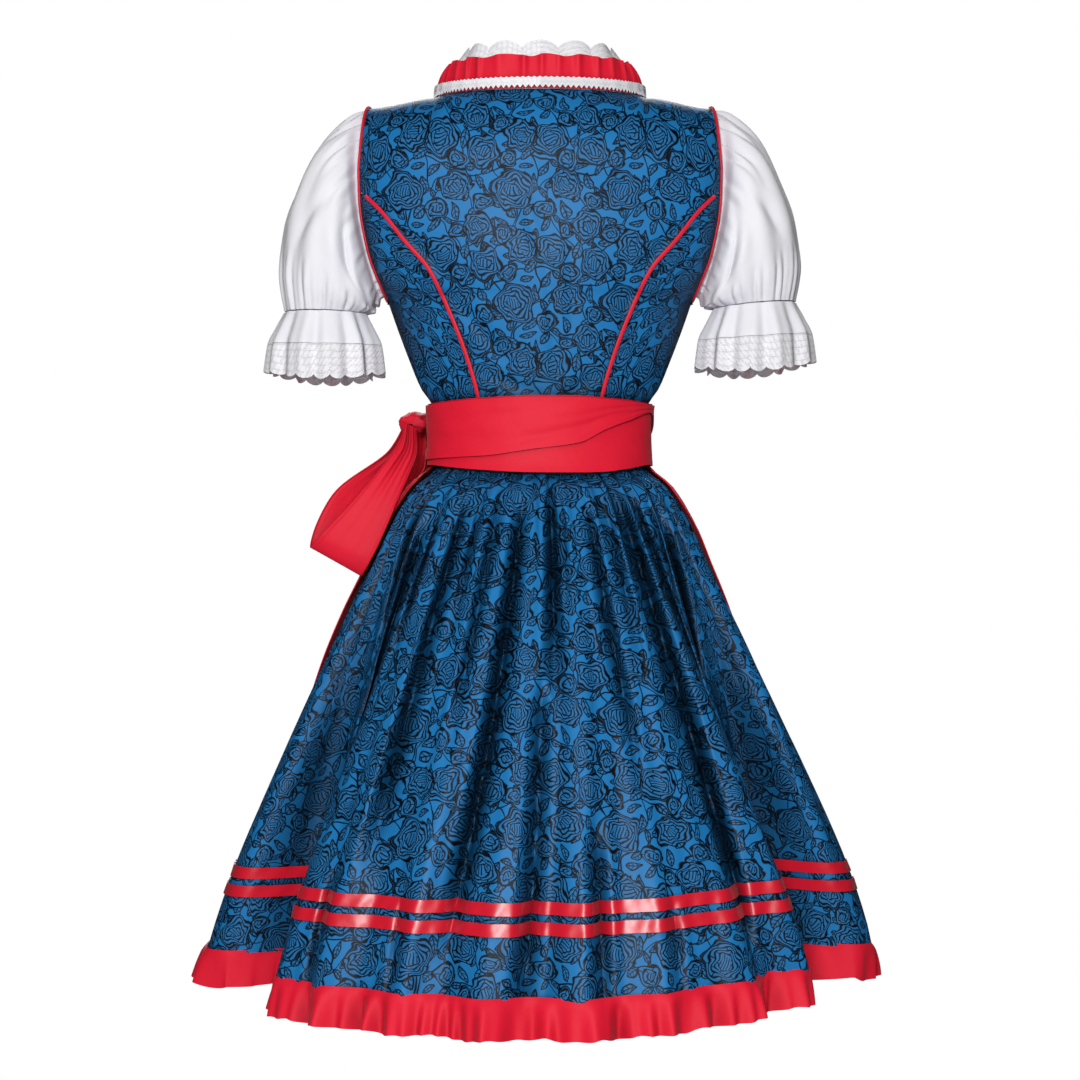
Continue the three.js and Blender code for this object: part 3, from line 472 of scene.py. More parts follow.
def add(tree, kind, inputs=None, **settings):
    """A shader node of a kind, with its settings. inputs maps a socket's name or number to a value, a socket,
    or a node whose first output it takes."""
    n = tree.nodes.new("ShaderNode" + kind)
    for key, value in settings.items():
        setattr(n, key, value)
    for key, value in (inputs or {}).items():
        if isinstance(value, bpy.types.Node):
            value = value.outputs[0]
        if isinstance(value, bpy.types.NodeSocket):
            tree.links.new(value, n.inputs[key])
        else:
            n.inputs[key].default_value = value
    return n


def new_material(name):
    """An empty material and its node tree."""
    material = bpy.data.materials.new(name)
    material.use_nodes = True
    material.node_tree.nodes.clear()
    return material, material.node_tree


def motif_group(name, own_values):
    """An empty node group for a drawn motif: cloth coordinates in, a line and the area inside out."""
    tree = bpy.data.node_groups.new(name, "ShaderNodeTree")
    for label in ("Cloth", "Centre", "Half"):
        tree.interface.new_socket(label, in_out="INPUT", socket_type="NodeSocketVector")
    for label in ("Size", "Turn", *own_values):
        tree.interface.new_socket(label, in_out="INPUT", socket_type="NodeSocketFloat")
    tree.interface.new_socket("Line", in_out="OUTPUT", socket_type="NodeSocketFloat")
    tree.interface.new_socket("Inside", in_out="OUTPUT", socket_type="NodeSocketFloat")
    start = tree.nodes.new("NodeGroupInput")
    end = tree.nodes.new("NodeGroupOutput")
    return tree, start, end


# The print repeats every TILE metres across and up, and LINE is about the width of its lines
TILE = (0.118, 0.120)
LINE = 0.0013
GROUND = "#1F78B8"
PETAL = "#2B6EA4"
INK = "#030910"
# Painted shade: the near-black that the print is darkened to where folds close in on it
PAINTED_SHADE_BLUE = "#01060C"


def place_motif(tree, start):
    """Coordinates round a motif's centre, turned, that start again with each repeat, which is twice Half."""
    half = start.outputs["Half"]
    cloth_place, centre = start.outputs["Cloth"], start.outputs["Centre"]
    gap = add(tree, "VectorMath", {0: cloth_place, 1: centre}, operation="SUBTRACT")
    low = add(tree, "VectorMath", {0: half, 1: (-1, -1, -1)}, operation="MULTIPLY")
    wrapped = add(tree, "VectorMath", {0: gap, 1: half, 2: low}, operation="WRAP")
    turn = {"Vector": wrapped, "Angle": start.outputs["Turn"]}
    turned = add(tree, "VectorRotate", turn, rotation_type="Z_AXIS")
    return add(tree, "SeparateXYZ", {0: turned})


def drawn(tree, away, wide=1.0):
    """1 close to a distance of 0, falling to 0 across the edge of a line."""
    ends = {"From Min": LINE * 0.3 * wide, "From Max": LINE * 0.8 * wide}
    return add(tree, "MapRange", {"Value": away, "To Min": 1.0, "To Max": 0.0, **ends})


def rose_group():
    """A rose: a spiral whose turns are drawn into lobes, cut by petal edges, round a striped heart."""
    tree, start, end = motif_group("rose", ("Rings", "Petals"))
    local = place_motif(tree, start)
    x, y = local.outputs[0], local.outputs[1]
    size, rings, petals = start.outputs["Size"], start.outputs["Rings"], start.outputs["Petals"]
    flat = add(tree, "CombineXYZ", {0: x, 1: y})
    radius = add(tree, "VectorMath", {0: flat}, operation="LENGTH").outputs["Value"]
    angle = add(tree, "Math", {0: y, 1: x}, operation="ARCTAN2")
    share = add(tree, "Math", {0: radius, 1: size}, operation="DIVIDE")
    swing = add(tree, "Math", {0: share, 1: 7.0}, operation="MULTIPLY")
    phase = add(tree, "Math", {0: angle, 1: petals, 2: swing}, operation="MULTIPLY_ADD")
    lobe = add(tree, "Math", {0: phase}, operation="COSINE")
    lobed = add(tree, "Math", {0: lobe, 1: 0.085, 2: 1.0}, operation="MULTIPLY_ADD")
    shaped = add(tree, "Math", {0: share, 1: lobed}, operation="MULTIPLY")
    turns = add(tree, "Math", {0: angle, 1: 1 / (2 * math.pi)}, operation="MULTIPLY")
    spiral = add(tree, "Math", {0: shaped, 1: rings, 2: turns}, operation="MULTIPLY_ADD")
    saw = add(tree, "Math", {0: spiral, 1: 0.5}, operation="PINGPONG")
    spacing = add(tree, "Math", {0: size, 1: rings}, operation="DIVIDE")
    away = add(tree, "Math", {0: saw, 1: spacing}, operation="MULTIPLY")
    ring_line = drawn(tree, away)
    ring = add(tree, "Math", {0: spiral}, operation="FLOOR")
    shift = add(tree, "Math", {0: ring, 1: 0.37}, operation="MULTIPLY")
    cut = add(tree, "Math", {0: turns, 1: petals, 2: shift}, operation="MULTIPLY_ADD")
    cut_saw = add(tree, "Math", {0: cut, 1: 0.5}, operation="PINGPONG")
    girth = add(tree, "Math", {0: radius, 1: 2 * math.pi}, operation="MULTIPLY")
    petal = add(tree, "Math", {0: girth, 1: petals}, operation="DIVIDE")
    cut_away = add(tree, "Math", {0: cut_saw, 1: petal}, operation="MULTIPLY")
    cut_line = drawn(tree, cut_away, 0.7)
    petals_line = add(tree, "Math", {0: ring_line, 1: cut_line}, operation="MAXIMUM")
    stripe = add(tree, "Math", {0: y, 1: 0.45, 2: x}, operation="MULTIPLY_ADD")
    stripes = drawn(tree, add(tree, "Math", {0: stripe, 1: 0.0016}, operation="PINGPONG"), 0.8)
    heart = add(tree, "Math", {0: shaped, 1: 0.3}, operation="LESS_THAN")
    line = add(tree, "Mix", {0: heart, 2: petals_line, 3: stripes})
    within = {"Value": shaped, "From Min": 1.0, "From Max": 1.05, "To Min": 1.0, "To Max": 0.0}
    inside = add(tree, "MapRange", within)
    edge = add(tree, "Math", {0: shaped, 1: 1.0}, operation="SUBTRACT")
    edge_size = add(tree, "Math", {0: edge, 1: size}, operation="MULTIPLY")
    rim = drawn(tree, add(tree, "Math", {0: edge_size}, operation="ABSOLUTE"), 1.2)
    held = add(tree, "Math", {0: line, 1: inside}, operation="MULTIPLY")
    out = add(tree, "Math", {0: held, 1: rim}, operation="MAXIMUM")
    tree.links.new(out.outputs[0], end.inputs["Line"])
    tree.links.new(inside.outputs[0], end.inputs["Inside"])
    return tree


def leaf_group():
    """A leaf or bud: two curved edges, a midrib and slanting veins."""
    tree, start, end = motif_group("leaf", ("Width", "Veins"))
    local = place_motif(tree, start)
    x, y = local.outputs[0], local.outputs[1]
    size, width, veins = start.outputs["Size"], start.outputs["Width"], start.outputs["Veins"]
    side = add(tree, "Math", {0: y}, operation="ABSOLUTE")
    share = add(tree, "Math", {0: x, 1: size}, operation="DIVIDE")
    square = add(tree, "Math", {0: share, 1: share}, operation="MULTIPLY")
    round_off = add(tree, "Math", {0: 1.0, 1: square}, operation="SUBTRACT")
    skew = add(tree, "Math", {0: share, 1: 0.35, 2: 1.0}, operation="MULTIPLY_ADD")
    form = add(tree, "Math", {0: round_off, 1: skew}, operation="MULTIPLY")
    edge = add(tree, "Math", {0: form, 1: width}, operation="MULTIPLY")
    past = add(tree, "Math", {0: side, 1: edge}, operation="SUBTRACT")
    outline = drawn(tree, add(tree, "Math", {0: past}, operation="ABSOLUTE"))
    inside = add(tree, "Math", {0: past, 1: 0.0}, operation="LESS_THAN")
    rib = drawn(tree, side, 0.7)
    slant = add(tree, "Math", {0: side, 1: -0.9, 2: x}, operation="MULTIPLY_ADD")
    vein = add(tree, "Math", {0: slant, 1: veins}, operation="PINGPONG")
    vein_line = drawn(tree, vein, 0.7)
    ribs = add(tree, "Math", {0: rib, 1: vein_line}, operation="MAXIMUM")
    held = add(tree, "Math", {0: ribs, 1: inside}, operation="MULTIPLY")
    body_line = add(tree, "Math", {0: held, 1: outline}, operation="MAXIMUM")
    reach = add(tree, "Math", {0: square, 1: 1.02}, operation="LESS_THAN")
    out = add(tree, "Math", {0: body_line, 1: reach}, operation="MULTIPLY")
    held_inside = add(tree, "Math", {0: inside, 1: reach}, operation="MULTIPLY")
    tree.links.new(out.outputs[0], end.inputs["Line"])
    tree.links.new(held_inside.outputs[0], end.inputs["Inside"])
    return tree


# The motifs of one repeat, in millimetres and degrees. Leaves and buds repeat twice as often as the roses.
ROSES = columns(
    "x y size turn rings petals",
    (27, 28, 21, 20, 6.4, 5),
    (88, 34, 17, 70, 5.2, 6),
    (58, 70, 17, 200, 5.2, 5),
    (104, 82, 18, 130, 5.4, 5),
    (17, 87, 17, 300, 5.2, 6),
    (66, 110, 16, 40, 4.8, 5),
    (110, 8, 11, 10, 3.0, 4),
    (58, 16, 10, 90, 2.8, 4),
    (32, 62, 9, 160, 2.6, 4),
    (86, 62, 9, 250, 2.6, 3),
    (40, 102, 10, 220, 2.8, 4),
    (88, 106, 8, 330, 2.4, 3),
)
LEAVES = columns(
    "x y size turn width veins",
    (8, 8, 10, 35, 4.2, 2.2),
    (30, 6, 9, 110, 3.8, 2.2),
    (48, 14, 9, 160, 3.8, 2.2),
    (18, 24, 10, 70, 4.2, 2.2),
    (42, 34, 10, 20, 4.0, 2.2),
    (4, 38, 9, 95, 3.8, 2.2),
    (28, 46, 10, 140, 4.0, 2.2),
    (52, 52, 9, 55, 3.6, 2.2),
    (12, 54, 8, 15, 3.4, 2.0),
    (55, 27, 7, 120, 2.8, 1.8),
    (31, 21, 7, 20, 2.8, 1.8),
    (15, 39, 7, 70, 2.8, 1.8),
    (40, 57, 7, 150, 2.8, 1.8),
)


# Stems cross the cloth (1) or climb it (0) in waves on both sides of their spot, in metres
STEMS = columns(
    "across wave phase spot",
    (1, 0.016, 0.0, 0.030),
    (1, 0.013, 2.1, 0.085),
    (1, 0.010, 4.4, 0.055),
    (1, 0.012, 3.3, 0.008),
    (0, 0.015, 1.2, 0.038),
    (0, 0.017, 4.0, 0.096),
    (0, 0.011, 2.6, 0.068),
    (0, 0.013, 5.4, 0.012),
)


def painted_fold_shade(tree, colour, painted_shade_colour, reach, power):
    """Painted shade: a colour that turns to a darker one where folds within reach close in on the cloth, as
    ambient occlusion finds them.
    """
    # Painted shade: the occlusion of the folds darkens the colour
    openness = add(tree, "AmbientOcclusion", {"Distance": reach}, samples=4)
    share = add(tree, "Math", {0: openness.outputs["AO"], 1: power}, operation="POWER")
    mixed = add(tree, "Mix", {0: share, 6: linear(painted_shade_colour), 7: colour}, data_type="RGBA")
    return mixed.outputs[2]


def printed_cloth():
    """Blue cloth with a soft sheen, an all-over print of line-drawn roses, leaves and stems, and painted
    shade in its folds.
    """
    material, tree = new_material("blue cloth with drawn roses")
    cloth_uv = add(tree, "UVMap", uv_map="Cloth")
    slow = {"Vector": cloth_uv, "Scale": 55.0, "Detail": 0.0}
    wobble = add(tree, "TexNoise", slow, noise_dimensions="2D")
    centred = add(tree, "VectorMath", {0: wobble.outputs["Color"], 1: (0.5, 0.5, 0.5)}, operation="SUBTRACT")
    shift = {0: centred, 1: (0.008, 0.008, 0), 2: cloth_uv}
    moved = add(tree, "VectorMath", shift, operation="MULTIPLY_ADD")
    layers = []
    for group, table, third, fourth, scale, repeat in (
        (rose_group(), ROSES, "Rings", "Petals", 1.0, 1),
        (leaf_group(), LEAVES, "Width", "Veins", METRES, 2),
    ):
        half = (TILE[0] / 2 / repeat, TILE[1] / 2 / repeat, 1)
        line, inside = None, None
        for x, y, size, turn, c, d in zip(*table.values()):
            motif = add(tree, "Group", node_tree=group)
            tree.links.new(moved.outputs[0], motif.inputs["Cloth"])
            values = {"Centre": (x * METRES, y * METRES, 0), "Half": half, "Size": size * METRES}
            values.update({"Turn": math.radians(turn), third: c * scale, fourth: d * scale})
            for key, value in values.items():
                motif.inputs[key].default_value = value
            if line is None:
                line, inside = motif.outputs["Line"], motif.outputs["Inside"]
                continue
            line = add(tree, "Math", {0: line, 1: motif.outputs["Line"]}, operation="MAXIMUM").outputs[0]
            both = {0: inside, 1: motif.outputs["Inside"]}
            inside = add(tree, "Math", both, operation="MAXIMUM").outputs[0]
        layers.append((line, inside))
    (rose_line, rose_inside), (leaf_line, leaf_inside) = layers
    bare = add(tree, "Math", {0: 1.0, 1: rose_inside}, operation="SUBTRACT")
    leaf_shown = add(tree, "Math", {0: leaf_line, 1: bare}, operation="MULTIPLY")
    line = add(tree, "Math", {0: rose_line, 1: leaf_shown}, operation="MAXIMUM").outputs[0]
    inside = add(tree, "Math", {0: rose_inside, 1: leaf_inside}, operation="MAXIMUM").outputs[0]
    parts = add(tree, "SeparateXYZ", {0: moved})
    u, v = parts.outputs[0], parts.outputs[1]
    stems = None
    for across, wave, phase, spot in zip(*STEMS.values()):
        a, b = (u, v) if across else (v, u)
        tile_a, tile_b = TILE if across else TILE[::-1]
        swing = add(tree, "Math", {0: a, 1: 2 * math.pi / tile_a, 2: phase}, operation="MULTIPLY_ADD")
        sine = add(tree, "Math", {0: swing}, operation="SINE")
        path = add(tree, "Math", {0: sine, 1: wave, 2: -spot}, operation="MULTIPLY_ADD")
        gap = add(tree, "Math", {0: b, 1: path}, operation="ADD")
        away = add(tree, "Math", {0: gap, 1: tile_b / 2}, operation="PINGPONG")
        stem = drawn(tree, away, 1.1)
        stems = stem if stems is None else add(tree, "Math", {0: stems, 1: stem}, operation="MAXIMUM")
    free = add(tree, "Math", {0: 1.0, 1: inside}, operation="SUBTRACT")
    behind = add(tree, "Math", {0: stems, 1: free}, operation="MULTIPLY")
    ink = add(tree, "Math", {0: line, 1: behind}, operation="MAXIMUM")
    mottling = {"Vector": cloth_uv, "Scale": 210.0, "Detail": 2.0}
    shade = add(tree, "TexNoise", mottling, noise_dimensions="2D")
    tones = {"Value": shade, "From Min": 0.3, "From Max": 0.7, "To Min": 0.35, "To Max": 1.0}
    tone = add(tree, "MapRange", tones)
    petals = add(tree, "Math", {0: inside, 1: tone}, operation="MULTIPLY")
    fill = add(tree, "Mix", {0: petals, 6: linear(GROUND), 7: linear(PETAL)}, data_type="RGBA")
    drawing = add(tree, "Mix", {0: ink, 6: fill.outputs[2], 7: linear(INK)}, data_type="RGBA")
    # Painted shade: the print darkens to near-black where folds close in on it
    with_painted_shade = painted_fold_shade(tree, drawing.outputs[2], PAINTED_SHADE_BLUE, reach=0.08, power=1.5)
    settings = {"Base Color": with_painted_shade, "Roughness": 0.5, "Specular IOR Level": 0.16}
    shader = add(tree, "BsdfPrincipled", settings)
    add(tree, "OutputMaterial", {"Surface": shader})
    return material


def plain_cloth(name, colour, painted_shade_colour, roughness, sheen, specular, weave=0.0, wrinkle=0.0):
    """Woven cloth of one colour, with painted shade that darkens it in its folds, a fine weave and soft
    wrinkles in its surface.
    """
    material, tree = new_material(name)
    place = add(tree, "TexCoord").outputs["Object"]
    fine = add(tree, "TexNoise", {"Vector": place, "Scale": 900.0, "Detail": 1.0})
    soft = add(tree, "TexNoise", {"Vector": place, "Scale": 38.0, "Detail": 2.0})
    first = add(tree, "Bump", {"Strength": 1.0, "Distance": weave, "Height": fine})
    over = {"Strength": 1.0, "Distance": wrinkle, "Height": soft, "Normal": first}
    second = add(tree, "Bump", over)
    # Painted shade: the colour darkens to the second colour where folds close in on the cloth
    with_painted_shade = painted_fold_shade(tree, linear(colour), painted_shade_colour, reach=0.03, power=1.2)
    settings = {"Base Color": with_painted_shade, "Roughness": roughness, "Specular IOR Level": specular}
    settings.update({"Sheen Weight": sheen, "Sheen Roughness": 0.4, "Normal": second})
    shader = add(tree, "BsdfPrincipled", settings)
    add(tree, "OutputMaterial", {"Surface": shader})
    return material


def lace(name, colour, open_share):
    """White lace: thick stitched spots on a finer net that lets some light through."""
    material, tree = new_material(name)
    cloth_uv = add(tree, "UVMap", uv_map="Cloth")
    coarse = {"Vector": cloth_uv, "Scale": 170.0, "Randomness": 0.35}
    spots = add(tree, "TexVoronoi", coarse, voronoi_dimensions="2D")
    fine = {"Vector": cloth_uv, "Scale": 520.0, "Randomness": 0.2}
    net = add(tree, "TexVoronoi", fine, voronoi_dimensions="2D")
    near_spots = {"Value": spots, "From Min": 0.38, "From Max": 0.48, "To Min": 1.0, "To Max": 0.0}
    stitched = add(tree, "MapRange", near_spots)
    far_from_holes = {"Value": net, "From Min": 0.28, "From Max": 0.4, "To Min": 0.0, "To Max": 0.8}
    threads = add(tree, "MapRange", far_from_holes)
    solid = add(tree, "Math", {0: stitched, 1: threads}, operation="MAXIMUM")
    alpha = add(tree, "MapRange", {"Value": solid, "To Min": 1.0 - open_share, "To Max": 1.0})
    bump = add(tree, "Bump", {"Strength": 0.6, "Distance": 0.0005, "Height": solid})
    settings = {"Base Color": linear(colour), "Roughness": 0.8, "Specular IOR Level": 0.2}
    settings.update({"Alpha": alpha, "Normal": bump})
    shader = add(tree, "BsdfPrincipled", settings)
    add(tree, "OutputMaterial", {"Surface": shader})
    return material


BLUE = printed_cloth()
# Depth of the weave's grain in metres
WEAVE = 0.00012

# Plain woven cloth of the apron, the neck ruffle and the hem ruffle: a broad, soft light on its folds
# The second colour is painted shade, a deeper red where folds close in on the cloth
RED = plain_cloth(
    "red woven cloth", "#EA1B36", "#7A0014",
    roughness=0.6, sheen=0.06, specular=0.2, weave=WEAVE, wrinkle=0.001,
)
# Satin, woven smooth: the ribbons shine in short bands
# The second colour is painted shade where folds close in on the satin
SATIN = plain_cloth(
    "red satin", "#D81A30", "#8C0A1C", roughness=0.33, sheen=0.05, specular=0.5, wrinkle=0.0009
)
# Smooth bias strip round a cord: a thin line of light along it
# The second colour is painted shade where folds close in on the piping
PIPE = plain_cloth("red piping", "#E4203A", "#9C1226", roughness=0.5, sheen=0.1, specular=0.3, weave=0.00008)
# Thin cotton: matt and white, with a painted grey shade only in its gathers
WHITE = plain_cloth(
    "white cotton", "#F4F3F8", "#C4C2CE",
    roughness=0.8, sheen=0.15, specular=0.2, weave=WEAVE, wrinkle=0.0009,
)
# Stitched net for the frills, and the same, closer, for the pointed trim of the neck
LACE = lace("white lace", "#F4F3F7", open_share=0.35)
TRIM = lace("white lace trim", "#F6F5F8", open_share=0.1)


def quads(index):
    """The four corners of each face of a grid of numbered points."""
    return np.stack([index[:-1, :-1], index[:-1, 1:], index[1:, 1:], index[1:, :-1]], axis=-1).reshape(-1, 4)


def place_piece(name, mesh, material):
    """Puts a mesh in the scene in place of the solid of that name."""
    mesh.materials.append(material)
    obj = bpy.data.objects.new("cloth_" + name, mesh)
    bpy.context.scene.collection.objects.link(obj)
    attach(obj, "root")
    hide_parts(name)
    return obj


# Each piece's name, width and length in metres. No cut may be declared that fills less than 0.3 of its
# flat rectangle. The bodice fronts fill about 0.30 of theirs, and are declared with this share, a few per
# cent over what is drawn
CUTS = []


def cloth(name, grid, material, thick=CLOTH, closed=False, centre=None, uv=None):
    """Makes the piece of cloth that stands for the solid of that name. grid holds its outer face, row by row;
    the inner face lies a thickness inside, and the edges are closed. A closed grid's last column meets its
    first. The cut is worked out from the finished outer face: its widest row and longest column."""
    if closed:
        grid = np.concatenate([grid, grid[:, :1]], axis=1)
    if uv is None:
        uv = flat_uv(grid)
    n = normals_of(grid, centre)
    if closed:
        ends = unit(n[:, :1] + n[:, -1:])
        n[:, :1] = ends
        n[:, -1:] = ends
    rows, cols = grid.shape[:2]
    kept = cols - 1 if closed else cols
    vertex = np.arange(rows * kept).reshape(rows, kept)
    if closed:
        vertex = np.concatenate([vertex, vertex[:, :1]], axis=1)
    vertex = np.concatenate([vertex.ravel(), vertex.ravel() + rows * kept])
    both_faces = [layer[:, :kept].reshape(-1, 3) for layer in (grid, grid - n * thick)]
    points = np.concatenate(both_faces) * METRES
    place = np.arange(rows * cols).reshape(rows, cols)
    shift = rows * cols
    outer = quads(place)
    edges = [place[0], place[-1, ::-1]]
    if not closed:
        edges += [place[::-1, 0], place[:, -1]]
    rims = [np.stack([e[:-1], e[:-1] + shift, e[1:] + shift, e[1:]], axis=-1) for e in edges]
    corners = np.concatenate([outer, outer[:, ::-1] + shift] + rims)
    a, b, c = (grid.reshape(-1, 3)[outer[:, k]] for k in (0, 1, 2))
    if (np.cross(b - a, c - a) * n.reshape(-1, 3)[outer[:, 0]]).sum() < 0:
        corners = corners[:, ::-1]
    faces = vertex[corners]
    mesh = bpy.data.meshes.new(name)
    mesh.vertices.add(len(points))
    mesh.vertices.foreach_set("co", points.ravel())
    mesh.loops.add(faces.size)
    mesh.loops.foreach_set("vertex_index", faces.ravel())
    mesh.polygons.add(len(faces))
    mesh.polygons.foreach_set("loop_start", np.arange(0, faces.size, 4))
    mesh.polygons.foreach_set("use_smooth", np.ones(len(faces), bool))
    both = np.concatenate([uv.reshape(-1, 2), uv.reshape(-1, 2)])
    mesh.uv_layers.new(name="Cloth").data.foreach_set("uv", both[corners.ravel()].ravel())
    mesh.update(calc_edges=True)
    mesh.set_sharp_from_angle(angle=math.radians(60))
    obj = place_piece(name, mesh, material)
    width = arc_lengths(grid, 1)[:, -1].max() * METRES
    length = arc_lengths(grid, 0)[-1].max() * METRES
    CUTS.append((name, width, length))


body_half = curve(BODY, "half")
body_depth = {sign: curve(BODY, facing) for facing, sign in FACINGS}
princess_x = {sign: curve(PRINCESS, facing) for facing, sign in FACINGS}


def armhole_depth(z, margin=0.0):
    """Half depth of the armhole at a height, or of the same oval grown by a margin."""
    reach = np.minimum(np.abs(z - ARMHOLE_Z) / (ARMHOLE_HALF_HEIGHT + margin), 1)
    return (ARMHOLE_HALF_DEPTH + margin) * (1 - reach**ARMHOLE_POWER) ** (1 / ARMHOLE_POWER)


def body(side, a, h):
    """The bodice's surface. side is 1 at the back and -1 at the front, a runs from the centre line to the
    side, and h is the height over the yoke line or the length of cloth over the shoulder."""
    z = YOKE_Z + np.minimum(h, 0)
    across = np.sin(a * QUARTER)
    edge = armhole_depth(z)
    x = body_half(z) * across
    y = edge + (body_depth[side](z) - edge) * np.cos(a * QUARTER)
    over = np.maximum(h, 0) / YOKE_ARC
    top_x = SHOULDER_X * across
    neck = NECK_DEPTH * np.sqrt(np.maximum(0, 1 - (top_x / NECK_X) ** 2))
    top_y = neck if side > 0 else 0 * neck
    top_z = mix(NECK_Z, SHOULDER_Z, smoothstep(top_x, NECK_X, SHOULDER_X))
    bend = mix(NAPE_BEND, QUARTER, smoothstep(top_x, NECK_X / 2, NECK_X)) if side > 0 else QUARTER
    level = (np.cos(over * bend) - np.cos(bend)) / (1 - np.cos(bend))
    rise = np.sin(over * bend) / np.sin(bend)
    up_z = np.where(h > 0, mix(YOKE_Z, top_z, rise), z)
    return points_of(mix(x, top_x, over), side * (mix(top_y, y, level) + SEAM_GAP / 2), up_z)


def edge_a(side, h, gap=EDGE_GAP):
    """Where a panel ends beside the armhole."""
    z = YOKE_Z + np.minimum(h, 0)
    edge = armhole_depth(z)
    share = (armhole_depth(z, gap) - edge) / (body_depth[side](z) - edge)
    low = np.arccos(np.minimum(1, share)) / QUARTER
    high = math.asin(1 - gap / SHOULDER_X) / QUARTER
    return np.where(h > 0, mix(low, high, np.maximum(h, 0) / YOKE_ARC), low)


def seam_a(side, h):
    """Where the princess seam lies; above its meeting with the armhole, the panel's edge."""
    z = YOKE_Z + np.minimum(h, 0)
    seam = np.arcsin(np.minimum(1, princess_x[side](z) / body_half(z))) / QUARTER
    return np.where(z > PRINCESS_TOP, edge_a(side, h), seam)


NECK_A = math.asin(NECK_X / SHOULDER_X) / QUARTER


def front_neck(a):
    """Height of the front neckline across the panel."""
    share = np.minimum(1, np.abs(np.sin(a * QUARTER)) / math.sin(NECK_A * QUARTER))
    return mix(-FRONT_NECK_DROP, YOKE_ARC, share**FRONT_NECK_CURVE)


def pressed(grid, facing, centre=None):
    """A bodice grid with its creases and a faint unevenness pressed in."""
    x, z = grid[..., 0], grid[..., 2]
    deep = creases(x, z, BACK_CREASES if facing > 0 else FRONT_CREASES)
    deep += 0.5 + 0.35 * np.sin(x / 17 + z / 31) + 0.3 * np.sin(z / 13 - x / 39)
    rim = np.ones(grid.shape[:2])
    for k, fade in enumerate((0.15, 0.45, 0.75)):
        for place in ((k, slice(None)), (-1 - k, slice(None)), (slice(None), k), (slice(None), -1 - k)):
            rim[place] = np.minimum(rim[place], fade)
    n = normals_of(grid, centre)
    return grid - n * (deep * rim)[..., None]


# Heights of a side panel's rows at its seam and at the side
SIDE_SEAM_ROWS = [-372, -342, -312, -282, -254, -228, -204, -180, -152, -125, -104]
SIDE_EDGE_ROWS = [-372, -322, -262, -217.9, -216.6, -212.5, -204, -188, -160, -128, -104]
FRONT_PRINT_SHIFT = (0.03, 0.02)


def bodice():
    """The panels, with the same edges as their solids."""
    low = WAIST_Z - YOKE_Z
    u, h = mesh_grid(np.linspace(-1, 1, 100), np.linspace(low, YOKE_ARC, 110))
    grid = body(1, np.abs(u) * (seam_a(1, h) - PRINCESS_GAP), h)
    grid[..., 0] *= np.sign(u)
    back = pressed(grid, 1)
    cloth("bodice_back", back, BLUE, uv=flat_uv(back, 0.5))
    for hand, sign in HANDS:
        flip = np.array([sign, 1, 1])
        u, v = mesh_grid(np.linspace(0.006, 1, 52), np.linspace(0, 1, 90))
        top = front_neck(u * edge_a(-1, np.full(u.shape, float(YOKE_ARC))))
        h = mix(low, top, v)
        grid = pressed(body(-1, u * (seam_a(-1, h) - PRINCESS_GAP), h) * flip, -1)
        cloth(f"bodice_front_{hand}", grid, BLUE, uv=flat_uv(grid) + FRONT_PRINT_SHIFT)
        for word, facing in FACINGS:
            side_low = np.array(SIDE_SEAM_ROWS) - YOKE_Z
            side_high = np.array(SIDE_EDGE_ROWS) - YOKE_Z
            steps = np.linspace(0, len(side_low) - 1, 71)
            entries = np.arange(len(side_low))
            u, i = mesh_grid(np.linspace(0, 1, 26), steps)
            h = mix(np.interp(i, entries, side_low), np.interp(i, entries, side_high), u)
            across = mix(seam_a(facing, h) + PRINCESS_GAP, edge_a(facing, h), u)
            grid = pressed(body(facing, across, h) * flip, facing)
            shifted = flat_uv(grid) + (0.051, 0.017)
            cloth(f"bodice_side_{word}_{hand}", grid, BLUE, uv=shifted)
    u, h = mesh_grid(np.linspace(-0.068, 0.068, 13), np.linspace(low + 0.5, -FRONT_NECK_DROP - 0.5, 90))
    grid = body(-1, np.abs(u), h)
    grid[..., 0] *= np.sign(u)
    grid = grid + normals_of(grid, None) * 1.8
    shifted = flat_uv(grid, 0.5) + FRONT_PRINT_SHIFT
    cloth("front_placket", grid, BLUE, thick=1.3, uv=shifted)


def body_normal(side, a, h):
    """Outward normal of the bodice at a place on it."""
    across = body(side, a, h) - body(side, a - 0.01, h)
    up = body(side, a, h + 1) - body(side, a, h - 1)
    return unit(np.cross(across, up)) * -side


